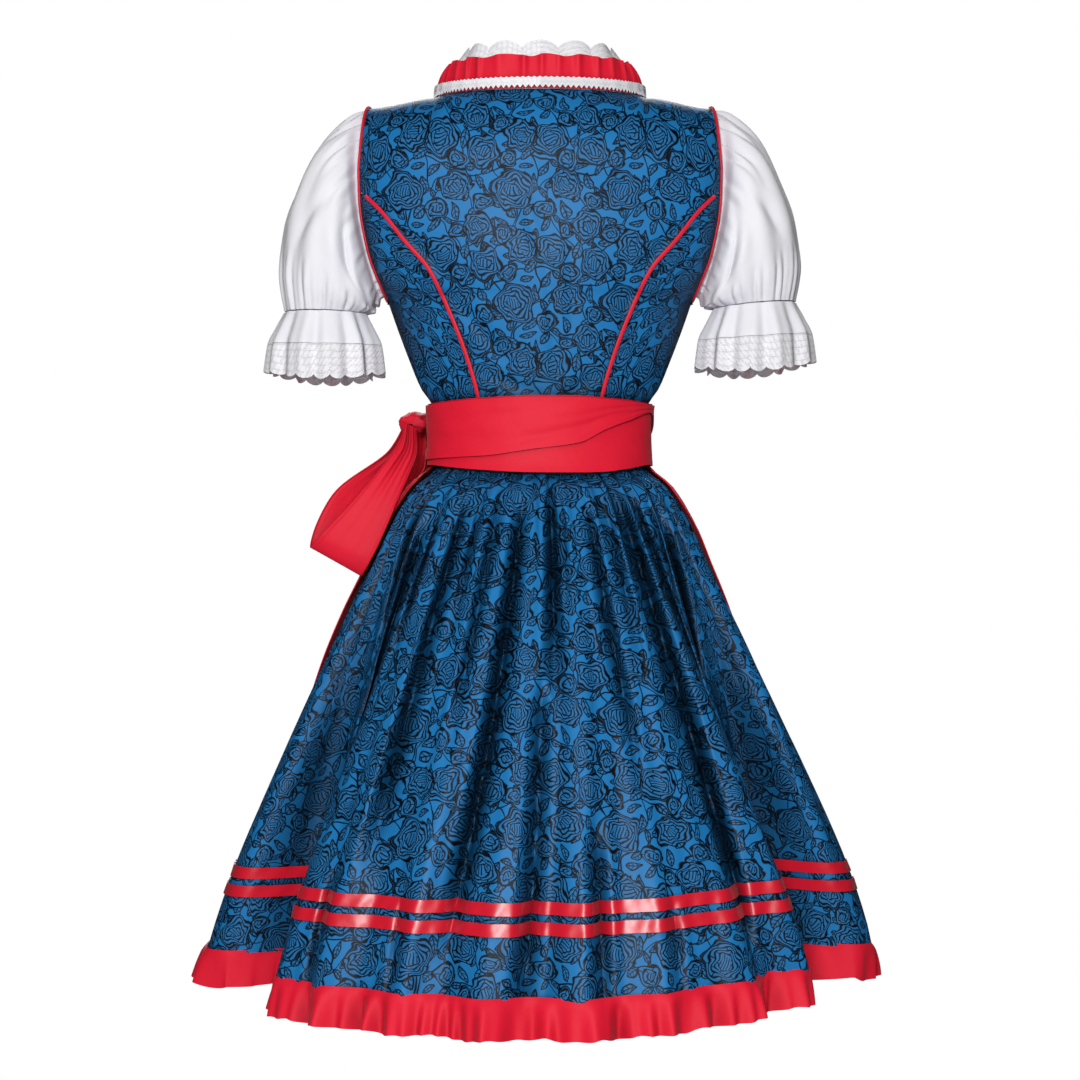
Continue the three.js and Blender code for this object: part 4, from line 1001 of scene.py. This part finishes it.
def cord_along(name, line, normal, half, high, lift, closed):
    """Piping or binding along a line: its half width, its height over its seat, and the seat's lift over
    the line."""
    if closed:
        along = unit(np.roll(line, -1, axis=0) - np.roll(line, 1, axis=0))
    else:
        along = unit(np.gradient(line, axis=0))
    across = unit(np.cross(along, normal))
    out = unit(np.cross(across, along))
    turn = np.linspace(0, 2 * math.pi, 13)[:-1]
    wide = np.sign(np.cos(turn)) * np.abs(np.cos(turn)) ** 0.8 * half
    rise = lift + high / 2 + np.sign(np.sin(turn)) * np.abs(np.sin(turn)) ** 0.8 * high / 2
    grid = line[:, None] + across[:, None] * wide[None, :, None] + out[:, None] * rise[None, :, None]
    rows, cols = grid.shape[:2]
    index = np.arange(rows * cols).reshape(rows, cols)
    below = np.concatenate([index, index[:1]]) if closed else index
    wrap = np.concatenate([below, below[:, :1]], axis=1)
    faces = quads(wrap)
    a, b, c = (grid.reshape(-1, 3)[faces[:, k]] for k in (0, 1, 2))
    middle = (line[:, None] + out[:, None] * (lift + high / 2) + 0 * grid).reshape(-1, 3)[faces[:, 0]]
    if (np.cross(b - a, c - a) * (a - middle)).sum() < 0:
        faces = faces[:, ::-1]
    shape = [list(f) for f in faces]
    if not closed:
        caps = [list(index[0]), list(index[-1][::-1])]
        shape += caps if (faces[0][0] == wrap[0, 0]) else [c[::-1] for c in caps]
    mesh = bpy.data.meshes.new(name)
    mesh.from_pydata((grid.reshape(-1, 3) * METRES).tolist(), [], shape)
    mesh.polygons.foreach_set("use_smooth", np.ones(len(mesh.polygons), bool))
    mesh.update()
    place_piece(name, mesh, PIPE)


def pipings():
    """Piping in the princess seams, from the waist to the armhole."""
    h = np.linspace(WAIST_Z, PIPING_TOP, 70) - YOKE_Z
    for word, side in FACINGS:
        for hand, sign in HANDS:
            flip = np.array([sign, 1, 1])
            line = body(side, seam_a(side, h), h) * flip
            normal = body_normal(side, seam_a(side, h), h) * flip
            cord_along(f"piping_{word}_{hand}", line, normal, half=2.3, high=2.3, lift=0.2, closed=False)


def bindings():
    """Binding round the armholes."""
    crest = QUARTER + math.asin(((YOKE_Z - ARMHOLE_Z) / ARMHOLE_HALF_HEIGHT) ** (ARMHOLE_POWER / 2))
    psi = np.linspace(0, crest, 40)
    rise = -np.sign(np.cos(psi)) * np.abs(np.cos(psi)) ** (2 / ARMHOLE_POWER)
    low = ARMHOLE_Z + ARMHOLE_HALF_HEIGHT * rise - YOKE_Z
    back = np.concatenate([low, np.linspace(0, YOKE_ARC, 22)[1:]])
    front = back[1:-1][::-1]
    for hand, sign in HANDS:
        flip = np.array([sign, 1, 1])
        line = np.concatenate([body(1, 1.0, back), body(-1, 1.0, front)]) * flip
        normal = np.concatenate([body_normal(1, 1.0, back), body_normal(-1, 1.0, front)]) * flip
        cord_along(f"armhole_binding_{hand}", line, normal, half=3.3, high=3.6, lift=-1.4, closed=True)


def neck_seam(turn):
    """The neck seam once round from the centre back by the wearer's left; turn runs from 0 to 1."""
    turn = turn - np.floor(turn)
    left = turn < 0.5
    t = np.where(left, turn, 1 - turn)
    back_a = NECK_A * np.sin(np.minimum(t / BACK_SHARE, 1) * QUARTER)
    back = body(1, back_a, np.full(t.shape, float(YOKE_ARC)))
    share = 1 - np.clip((t - BACK_SHARE) / (0.5 - BACK_SHARE), 0, 1) ** 1.6
    front = body(-1, NECK_A * share, front_neck(NECK_A * share))
    p = np.where((t < BACK_SHARE)[..., None], back, front)
    p[..., 0] = np.where(left, p[..., 0], -p[..., 0])
    return p


def neck_point(turn, high, out):
    """A point on what stands on the neck seam: high over it, and out from it."""
    t = np.minimum(turn - np.floor(turn), 1 - (turn - np.floor(turn)))
    p = neck_seam(turn)
    along = unit(neck_seam(turn + 0.004) - neck_seam(turn - 0.004))
    plan = unit(points_of(-along[..., 1], along[..., 0], 0 * along[..., 0]))
    plan = plan * np.sign((plan * p * (1, 1, 0)).sum(-1, keepdims=True) + 1e-12)
    front = smoothstep(t, BACK_SHARE + 0.02, BACK_SHARE + 0.12)[..., None]
    chest = unit(points_of(np.sign(p[..., 0]) * 0.15, -0.75 + 0 * t, 0.55 + 0 * t))
    lean = mix(plan, chest, 0.75 * front)
    up = unit(np.cross(along, lean))
    up = up * np.where(up[..., 2:] < 0, -1, 1)
    outward = unit(np.cross(up, along))
    outward = outward * np.sign((outward * lean).sum(-1, keepdims=True) + 1e-12)
    inwards = SIDE_LEAN * np.maximum(0, high / LACE_HIGH) ** 2.5 * bell((t - 0.2) / 0.15)
    return p + up * (4.4 * front + np.asarray(high)[..., None]) + outward * (out - inwards)[..., None]


def neckline():
    """The trim, the pleated ruffle and the blouse's lace, which all stand on the neck seam."""
    u, v = mesh_grid(ring(1200), np.linspace(0, 1, 3))
    point = np.abs((u * NECK_POINTS) % 1 - 0.5) * 2
    high = mix(0.5 + 3.6 * point, 13 - 1.2 * np.abs(np.sin(NECK_POINTS * np.pi * u)), v)
    grid = neck_point(u, high, 3.7 + 0.25 * np.cos(2 * np.pi * NECK_PLEATS * u))
    cloth("neck_trim", grid, TRIM, LIGHT_CLOTH, True)

    u, v = mesh_grid(ring(720), np.linspace(0, 1, 13))
    wander = 0.9 * np.sin(2 * np.pi * 7 * u + 1) + 0.6 * np.sin(2 * np.pi * 11 * u)
    turn = 2 * np.pi * NECK_PLEATS * u + wander
    depth = mix(0.6, 4.0, v**1.2) * (1 + 0.3 * np.sin(2 * np.pi * 13 * u))
    fold = np.cos(turn + 0.7 * np.sin(turn))
    high = mix(0.5, 37 + 1.4 * np.cos(turn * 0.5 + 1), v)
    grid = neck_point(u, high, 1.1 - depth * (0.5 - 0.5 * fold))
    cloth("neck_ruffle", grid, RED, LIGHT_CLOTH, True)

    u, v = mesh_grid(ring(660), np.linspace(0, 1, 10))
    scallop = np.abs(np.cos(np.pi * NECK_SCALLOPS * u)) ** 0.7
    high = mix(0.5, LACE_HIGH - 8 * (1 - scallop), v)
    wave = 0.8 * v * np.cos(2 * np.pi * NECK_SCALLOPS * u)
    grid = neck_point(u, high, -1.6 - 6.5 * v + wave)
    cloth("neck_lace", grid, LACE, FINE_CLOTH, True)


def blouse():
    """The blouse's body, drawn in from the bodice."""
    low = BLOUSE_HEM_Z - YOKE_Z
    heart = np.array([0, 0, HEART_Z])
    for word, facing in FACINGS:
        name = f"blouse_{word}"
        u, v = mesh_grid(np.linspace(-1, 1, 50), np.linspace(0, 1, 40))
        full = np.full(u.shape, float(YOKE_ARC))
        top = full if facing > 0 else front_neck(np.abs(u) * edge_a(-1, full)) - 6
        h = mix(low, top, v)
        grid = body(facing, np.abs(u) * edge_a(facing, h) * 0.975, h)
        grid[..., 0] *= np.sign(u)
        grid = heart + (grid - heart) * BLOUSE_SHRINK[name]
        cloth(name, grid, WHITE, LIGHT_CLOTH)


sleeve_curves = curves(SLEEVE)
cuff_grow, cuff_wave = curves(CUFF_FLARE).values()


def sleeve_point(turn, along, side):
    """The sleeve's surface; side is 1 for the left one and shifts its folds a little."""
    phi = 2 * np.pi * turn
    row = {key: read(along) for key, read in sleeve_curves.items()}
    lean = 0.8 * side
    top = 2.4 * np.exp(-(((along - 0.17) / 0.15) ** 2))
    foot = 2.6 * smoothstep(along, 0.74, 0.95) * (1 - 0.4 * smoothstep(along, 0.96, 1.0))
    soft = 2.6 * np.sin(np.pi * np.clip(along, 0, 1)) ** 1.5
    fold = row["gather"] * 0.5 * np.cos(10 * phi)
    fold = fold + top * (np.cos(27 * phi + lean) * 0.6 + np.cos(41 * phi + 2 * lean) * 0.4)
    fold = fold + foot * (np.cos(24 * phi + lean + 2 * along) * 0.6 + np.cos(37 * phi) * 0.4)
    rolls = np.cos(6 * phi + 5 * along + lean) * 0.6 + np.cos(11 * phi - 4 * along + 2 + lean) * 0.5
    fold = fold + soft * rolls
    drag = np.exp(-(((phi - 1.9 - 1.6 * (along - 0.45)) / 0.16) ** 2)) * bell((along - 0.42) / 0.36)
    second = np.exp(-(((phi - 1.1 + 1.1 * (along - 0.5)) / 0.13) ** 2)) * bell((along - 0.55) / 0.33)
    drag = drag + 0.8 * second
    grow = 1 + (fold - 5 * drag) / 62
    half_x = (row["out_x"] - row["in_x"]) / 2 * grow
    half_z = (row["out_z"] - row["in_z"]) / 2 * grow
    x = (row["out_x"] + row["in_x"]) / 2 + half_x * np.cos(phi) + row["bow"] * np.sin(phi) ** 2
    z = (row["out_z"] + row["in_z"]) / 2 + half_z * np.cos(phi)
    return points_of(x, row["deep"] * grow * np.sin(phi), z)


def cuff_point(turn, z):
    """The flounce's surface."""
    phi = 2 * np.pi * turn
    swing = np.cos(CUFF_WAVES * phi + 0.5 * np.sin(3 * phi)) * 0.8 + 0.35 * np.cos(19 * phi + 1)
    grow = cuff_grow(z) + cuff_wave(z) * swing + 1.1
    x = CUFF_X + (CUFF_HALF + grow) * np.cos(phi)
    low = np.maximum(0, (CUFF_GATHER_Z - z) / (CUFF_GATHER_Z - CUFF_HEM_Z))
    rise = np.cos(phi) + CUFF_RISE * low * low * np.cos(phi) ** 2
    return points_of(x, (CUFF_DEEP + grow) * np.sin(phi), z + rise)


def sleeves():
    """The sleeves, their flounces and the lace at their edges."""
    for hand, sign, lift in (("left", 1, 0), ("right", -1, RIGHT_CUFF_LIFT)):
        flip = np.array([sign, 1, 1])

        def raised(grid, u, share):
            moved = grid.copy()
            moved[..., 2] += lift * share * (0.75 + 0.25 * np.cos(2 * np.pi * u))
            return moved * flip

        u, v = mesh_grid(ring(220), np.linspace(0, 1, 72))
        plain = sleeve_point(u, v, sign)
        grid = plain + normals_of(plain, (CUFF_X, 0, SLEEVE_MIDDLE_Z)) * LIGHT_CLOTH
        middle = (sign * CUFF_X, 0, SLEEVE_MIDDLE_Z)
        cloth(f"sleeve_{hand}", raised(grid, u, v * v), WHITE, LIGHT_CLOTH, True, middle)
        u, z = mesh_grid(ring(264), np.linspace(CUFF_LACE_Z, CUFF_GATHER_Z - 1, 14))
        middle = (sign * CUFF_X, 0, CUFF_MIDDLE_Z)
        grid = raised(cuff_point(u, z), u, 1)
        cloth(f"cuff_flounce_{hand}", grid, WHITE, LIGHT_CLOTH, True, middle)
        u, v = mesh_grid(ring(528), np.linspace(0, 1, 9))
        scallop = np.abs(np.sin(np.pi * CUFF_SCALLOPS * u)) ** 0.7
        z = mix(CUFF_HEM_Z - 5 * scallop, CUFF_LACE_Z - 0.5, v)
        grid = raised(cuff_point(u, z), u, 1)
        cloth(f"cuff_lace_{hand}", grid, LACE, FINE_CLOTH, True, middle)


skirt_half, skirt_back_depth, skirt_front_depth = curves(SKIRT).values()
gather_depth = curve(GATHERS, "deep")


def valleys(deg, z):
    """Depth of the skirt's sharp valleys: each is steepest along its line and eases out beside it."""
    total = 0
    low = (z - VALLEY_MIDDLE_Z) / VALLEY_STEP
    for top, middle, foot, deep, wide, start, end in zip(*VALLEYS.values()):
        line = middle + (top - foot) / 2 * low + ((top + foot) / 2 - middle) * np.clip(low, -1.1, 1.1) ** 2
        # The same width of cloth spans more degrees near the waist
        half = wide * (VALLEY_HALF / np.maximum(120, skirt_half(z))) ** 0.6
        away = np.sqrt((degrees_from(deg, line) / half) ** 2 + 0.006)
        along = smoothstep(-z, -start, -start + 70) * (1 - smoothstep(-z, -end - 90, -end + 60))
        waist = 0.3 + 0.7 * smoothstep(-z, 395, 500)
        total = np.maximum(total, deep * waist * along * np.maximum(0, 1 - away) ** 1.6)
    return total


def skirt_surface(deg, z, gathered=1.0):
    """The skirt's surface at an angle in degrees from the centre back and a height."""
    down = (WAIST_Z - z) / (WAIST_Z - HEM_SEAM_Z)
    dip = 0
    for waist, hem, depth, spread, start in zip(*FOLDS.values()):
        middle = mix(waist, hem, np.minimum(1, down))
        away = degrees_from(deg, middle) / spread
        grown = np.maximum(0, (start - z) / (start - HEM_SEAM_Z)) ** 0.85
        dip = dip + depth * grown * bell(away)
    angle = np.radians(deg)
    wander = 1.3 * np.sin(5 * angle + 1) + 0.8 * np.sin(11 * angle)
    gather = gather_depth(z) * (0.5 - 0.5 * np.cos(36 * angle + wander))
    fine = smoothstep(z, -520, -400) * (0.7 + 0.5 * np.cos(83 * angle + 2 * wander))
    drape = 0.5 + 0.5 * np.sin(17 * angle + 2 * wander + z / 150)
    soft = smoothstep(-z, 430, 700) * (4.5 * drape + 1.2 * np.sin(43 * angle + z / 90) ** 2)
    gather = gathered * (gather * 0.8 + fine + soft)
    keep = 1 - dip
    depth = np.where(np.cos(angle) > 0, skirt_back_depth(z), skirt_front_depth(z))
    right = bell(degrees_from(deg, RIGHT_LIFT["angle"]) / RIGHT_LIFT["spread"])
    lift = np.maximum(0, down) * (SIDE_LIFT * np.sin(angle) ** 2 + RIGHT_LIFT["high"] * right)
    drawn_in = np.where(np.sin(angle) > 0, HEM_DRAWN_IN["left"], HEM_DRAWN_IN["right"])
    narrow = drawn_in * np.maximum(0, down) ** 16 * np.sin(angle) ** 2
    forwards = 0
    for waist, hem, spread, deep in zip(*TROUGHS.values()):
        away = degrees_from(deg, mix(waist, hem, np.minimum(1, down))) / spread
        forwards = forwards + deep * smoothstep(down, 0.15, 0.75) * bell(away)
    # Valleys run straight in on the back and the front, and towards the middle at the sides
    sharp = valleys(deg, z) * (0.15 + 0.85 * gathered)
    straight = smoothstep(np.abs(np.cos(angle)), 0.2, 0.5)
    forwards = forwards + sharp * straight * np.sign(np.cos(angle))
    inwards = gather + sharp * (1 - straight)
    x = (skirt_half(z) * keep - inwards - narrow) * np.sin(angle)
    return points_of(x, (depth * keep - inwards) * np.cos(angle) - forwards, z + lift)


# Distance to the waist from the middle of the flat ring that the print lies on
CONE_TOP = 260


def cone_uv(grid, middle):
    """Cloth coordinates of a flared panel, upright at its middle column."""
    column = int(round(middle * (grid.shape[1] - 1)))
    hem = arc_lengths(grid[:1], 1)[0]
    down = arc_lengths(grid[::-1], 0)[::-1].mean(axis=1, keepdims=True)
    radius = CONE_TOP + down
    angle = (hem - hem[column])[None, :] / radius[0, 0]
    return np.stack([radius * np.sin(angle), -radius * np.cos(angle)], axis=-1) * METRES


def skirt():
    """The skirt's panels, the ribbons and the hem ruffle."""
    heights = np.concatenate([np.linspace(HEM_SEAM_Z, -520, 41), np.linspace(-512, WAIST_Z - 0.4, 31)])
    deg, z = mesh_grid(np.linspace(-89.92, 89.92, 400), heights)
    grid = skirt_surface(deg, z)
    cloth("skirt_back", grid, BLUE, uv=cone_uv(grid, 0.5))
    deg, z = mesh_grid(np.linspace(90.08, 269.92, 300), heights[::2])
    grid = skirt_surface(deg, z)
    cloth("skirt_front", grid, BLUE, uv=cone_uv(grid, 0.5))
    deg = np.arange(900) * 0.4
    for name, top, bottom in zip(("ribbon_upper", "ribbon_lower"), RIBBONS["top"], RIBBONS["bottom"]):
        turn, z = mesh_grid(deg, np.linspace(bottom, top, 5))
        grid = skirt_surface(turn, z)
        angle = np.radians(turn)
        pucker = 0.5 * np.sin(61 * angle + 2 * np.sin(7 * angle)) + 0.4 * np.sin(97 * angle + z / 4)
        grid = grid + normals_of(grid, None) * (1.7 + 0.6 * pucker)[..., None]
        cloth(name, grid, SATIN, FINE_CLOTH, True)
    hem_wave = curve(HEM_RUFFLE, "wave")
    turn, z = mesh_grid(np.arange(1440) * 0.25, np.linspace(HEM_Z, HEM_SEAM_Z + 3, 9))
    angle = np.radians(turn)
    wander = 0.9 * np.sin(7 * angle + 1) + 0.7 * np.sin(13 * angle)
    swing = 0.9 * np.cos(HEM_WAVES * angle + wander) + 0.7 * np.cos(67 * angle + 2 * wander)
    swing = swing + 0.45 * np.cos(109 * angle - 3 * wander)
    grid = skirt_surface(turn, z, 0.0)
    out = unit(grid * (1, 1, 0))
    low = np.clip((HEM_SEAM_Z - z) / (HEM_SEAM_Z - HEM_Z), 0, 1)
    drop = low * (1.6 * np.cos(HEM_WAVES * angle + wander) + 1.2 * np.cos(67 * angle + 2 * wander))
    tucked = 2.0 * smoothstep(z, HEM_SEAM_Z - 2, HEM_SEAM_Z)
    grid = grid + out * (hem_wave(z) * swing * smoothstep(low, 0, 0.1) - tucked)[..., None]
    grid[..., 2] += drop
    cloth("hem_ruffle", grid, RED, CLOTH, True)


sash_half, sash_back, sash_front = curves(SASH).values()
sash_edge = curves(SASH_EDGES)


def sash_surface(deg, z):
    """The inner face of the ties round the waist."""
    angle = np.radians(deg)
    depth = np.where(np.cos(angle) > 0, sash_back(z), sash_front(z))
    return points_of(sash_half(z) * np.sin(angle), depth * np.cos(angle), z)


# Folds along the ties: angle and share of the height at both ends, half width as a share, and depth
TIE_FOLDS = columns(
    "a0 v0 a1 v1 wide deep",
    (-52, 0.5, 20, 0.16, 0.1, 1.6),
    (-66, 0.75, -10, 0.55, 0.08, 1.1),
    (-80, 0.4, -30, 0.3, 0.09, 1.2),
    (10, 0.72, 85, 0.6, 0.09, 1.0),
    (30, 0.3, 100, 0.44, 0.1, 1.4),
    (45, 0.85, 105, 0.66, 0.07, 1.0),
    (70, 0.15, 112, 0.36, 0.09, 1.2),
    (-150, 0.4, -95, 0.6, 0.1, 1.0),
    (120, 0.6, 170, 0.45, 0.1, 1.0),
)


def tie_folds(deg, v):
    """Depth of the folds along the ties."""
    total = 0
    for a0, v0, a1, v1, wide, deep in zip(*TIE_FOLDS.values()):
        t = np.clip((deg - a0) / (a1 - a0), 0, 1)
        away = np.abs(v - mix(v0, v1, t)) / wide + np.abs(deg - mix(a0, a1, t)) / 12
        total = total + deep * np.exp(-(away**2)) * np.sin(np.pi * mix(0.15, 0.9, t))
    return total


def apron_ease(z):
    """How far the apron hangs out from the skirt at a height."""
    return APRON_EASE * smoothstep(-z, 406, 836)


def apron():
    """The apron's panel and the two layers of its ties."""
    left, right = curves(APRON_EDGES).values()
    u, z = mesh_grid(np.linspace(0, 1, 160), np.linspace(APRON_HEM_Z, APRON_TOP_Z, 64))
    deg = mix(left(z), 360 + right(z), u)
    grid = skirt_surface(deg, z, 0.0)
    angle = np.radians(deg)
    ripple = 1.3 * smoothstep(z, -620, -400) * np.cos(58 * angle + 2 * np.sin(9 * angle))
    grid = grid + unit(grid * (1, 1, 0)) * (apron_ease(z) + ripple)[..., None]
    grid = grid + normals_of(grid, None) * 4.4
    cloth("apron_panel", grid, RED, 1.2)
    deg, v = mesh_grid(np.arange(360) - 180, np.linspace(0, 1, 22))
    for name, low, lift, seat in (("apron_band", "bottom", 1.1, 0.6), ("tie_over", "over", 3.7, 1.0)):
        drop = 1.5 if name == "tie_over" else 0
        z = mix(sash_edge[low](deg), sash_edge["top"](deg) - drop, v)
        grid = sash_surface(deg, z)
        deep = tie_folds(deg, v) * seat
        soft = 0.5 * np.sin(deg / 9 + 5 * v) + 0.4 * np.sin(deg / 4.3 - 9 * v)
        room = 0.5 if name == "apron_band" else 1.0
        edge = 1 - np.abs(2 * v - 1) ** 6
        out = lift - np.minimum(deep, room + 1.0) * edge * room + soft * 0.4
        grid = grid + normals_of(grid, None) * out[..., None]
        cloth(name, grid, RED, 1.0, True)


def bow():
    """The knot, the loops and the tails."""
    centre = np.array(KNOT["centre"])
    axis = unit(np.array([0.3, 0.9, -0.3]))
    upright = unit(np.array([0, 0, 1]) - axis * axis[2])
    side = np.cross(axis, upright)
    u, v = mesh_grid(ring(60), np.linspace(-1, 1, 21))
    phi = 2 * np.pi * u
    crumple = 0.7 * np.cos(5 * phi + 3 * v) + 0.5 * np.cos(9 * phi - 2 * v)
    gathered_end = 1 - 0.8 * smoothstep(np.abs(v), 0.72, 1)
    radius = (KNOT["radius"] * (1 - 0.22 * v * v) + crumple - 0.8) * gathered_end
    grid = centre + axis * (KNOT["half"] * v)[..., None] + upright * (0.85 * radius * np.cos(phi))[..., None]
    grid = grid + side * (1.4 * radius * np.sin(phi))[..., None]
    cloth("bow_knot", grid, RED, KNOT["thick"], True, centre)

    read = curves(LOOP)
    for name, start, along, across in (
        ("bow_loop_outer", KNOT["half"] + 0.4, (0.49, 0.15, -0.87), (0.87, 0, 0.49)),
        ("bow_loop_front", -KNOT["half"] - 1.8, (0.08, -0.6, -0.8), (0.8, -0.35, 0.3)),
    ):
        reach = unit(np.array(along, float))
        wide = np.array(across, float)
        wide = unit(wide - reach * wide.dot(reach))
        apart = np.cross(reach, wide)
        apart = apart * (1 if apart.dot(axis) * start > 0 else -1)
        origin = centre + axis * start
        u, v = mesh_grid(np.linspace(0, 1, 120), np.linspace(-1, 1, 41))
        near = 1 - np.abs(np.cos(np.pi * u)) ** 0.5
        rays = np.cos(v * 7 + 1.5) * 0.6 + np.cos(v * 12 + 3 * u) * 0.4
        pinch = np.exp(-(((read["reach"](u) - 28) / 45) ** 2))
        rip = rays * (2.6 * pinch + 0.9 * near)
        near_side = np.sign(0.5 - u + 1e-9)
        layer = read["layer"](u) + 3 + rip * near_side * smoothstep(np.abs(u - 0.5), 0, 0.08)
        back_half = smoothstep(u, 0.52, 0.7) * smoothstep(1 - u, 0.04, 0.2)
        rolled_edge = 1.3 * np.exp(-(((np.abs(v) - 0.93) / 0.04) ** 2)) * near_side
        layer = layer + 11 * v * back_half + rolled_edge
        spread = read["shift"](u) + read["half"](u) * v
        grid = origin + reach * read["reach"](u)[..., None]
        grid = grid + wide * spread[..., None] + apart * layer[..., None]
        middle = origin + reach * 80 + apart * 7
        cloth(name, grid, RED, 1.1, False, middle)

    tail_read = curves(TAIL)
    for name, tail in TAILS.items():
        u, v = mesh_grid(np.linspace(-1, 1, 25), np.linspace(0, 1, 60))
        z = mix(tail["low"] + 14 * np.abs(u), TAIL_TOP_Z, v)
        bend = tail_read["bend"](z)
        middle = np.where(
            bend < 0.3,
            mix(tail["top"], tail["middle"], bend / 0.3),
            mix(tail["middle"], tail["end"], (bend - 0.3) / 0.7),
        )
        girth = math.radians(1) * (skirt_half(z) + skirt_front_depth(z)) / 2
        deg = middle + tail_read["half"](z) * u / girth
        grid = skirt_surface(deg, z, 0.0)
        angle = np.radians(deg)
        out = points_of(np.sin(angle), np.cos(angle), 0 * angle)
        ripple = 1.1 + 0.5 + 0.5 * np.cos(4 * u + 2 * v) * np.sin(np.pi * v)
        grid = grid + out * (tail_read["out"](z) + apron_ease(z) + ripple)[..., None]
        cloth(name, grid, RED, 1.0)


bodice()
pipings()
bindings()
neckline()
blouse()
sleeves()
skirt()
apron()
bow()

# White paper below the hem, grey to the light and pure white to the camera
PAPER_Z = -1.35
PAPER_HALF = 6
corners = [(x * PAPER_HALF, y * PAPER_HALF, PAPER_Z) for x, y in ((-1, -1), (1, -1), (1, 1), (-1, 1))]
floor_mesh = bpy.data.meshes.new("floor")
floor_mesh.from_pydata(corners, [], [(0, 1, 2, 3)])
floor_material, floor_tree = new_material("white paper")
seen = add(floor_tree, "LightPath")
paper = add(floor_tree, "BsdfDiffuse", {"Color": linear("#77777A")})
glow = add(floor_tree, "Emission", {"Color": (1, 1, 1, 1), "Strength": 1.0})
floor_shader = add(floor_tree, "MixShader", {0: seen.outputs["Is Camera Ray"], 1: paper, 2: glow})
add(floor_tree, "OutputMaterial", {"Surface": floor_shader})
floor_mesh.materials.append(floor_material)
floor = bpy.data.objects.new("floor", floor_mesh)
bpy.context.scene.collection.objects.link(floor)

# White surroundings that the camera sees as pure white, and soft studio lights
SOFT_LIGHT = 0.035
world = bpy.data.worlds.new("studio")
bpy.context.scene.world = world
world.use_nodes = True
world.node_tree.nodes.clear()
path = add(world.node_tree, "LightPath")
shown = {"Value": path.outputs["Is Camera Ray"], "To Min": SOFT_LIGHT, "To Max": 1.0}
strength = add(world.node_tree, "MapRange", shown)
background = add(world.node_tree, "Background", {"Color": (1, 1, 1, 1), "Strength": strength})
add(world.node_tree, "OutputWorld", {"Surface": background})

LIGHTS = columns(
    "x y z size watts",
    (0.35, 3.2, 0.35, 0.6, 78),
    (-0.3, 3.2, -0.4, 0.8, 20),
    (0.0, -2.6, 0.8, 2.0, 85),
)
LIT_POINT = (0, 0, -0.45)
for x, y, z, size, watts in zip(*LIGHTS.values()):
    light = bpy.data.lights.new("soft light", "AREA")
    light.size = size
    light.energy = watts
    lamp = bpy.data.objects.new("soft light", light)
    lamp.location = (x, y, z)
    aim = np.array(LIT_POINT) - np.array([x, y, z])
    flat = math.hypot(aim[0], aim[1])
    lamp.rotation_euler = (math.atan2(flat, -aim[2]), 0, math.atan2(-aim[0], aim[1]))
    bpy.context.scene.collection.objects.link(lamp)

# The photograph's view: level, from behind the dress, in metres
CAMERA_PLACE = (0, 2.85, -0.478)
CAMERA_LENS = 86.4
PICTURE_SIZE = 1080
camera_data = bpy.data.cameras.new("camera")
camera_data.sensor_width = 36
camera_data.lens = CAMERA_LENS
camera_data.clip_end = 50
camera = bpy.data.objects.new("camera", camera_data)
camera.location = CAMERA_PLACE
camera.rotation_euler = (math.radians(90), 0, math.radians(180))
bpy.context.scene.collection.objects.link(camera)
bpy.context.scene.camera = camera

scene = bpy.context.scene
scene.render.engine = "CYCLES"
scene.render.resolution_x = PICTURE_SIZE
scene.render.resolution_y = PICTURE_SIZE
scene.cycles.samples = 32
scene.cycles.use_denoising = True
scene.view_settings.view_transform = "Standard"
scene.view_settings.look = "None"

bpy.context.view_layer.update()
for cut_name, cut_width, cut_length in CUTS:
    print(f"cut {cut_name}: {cut_width:.3f} x {cut_length:.3f} m")
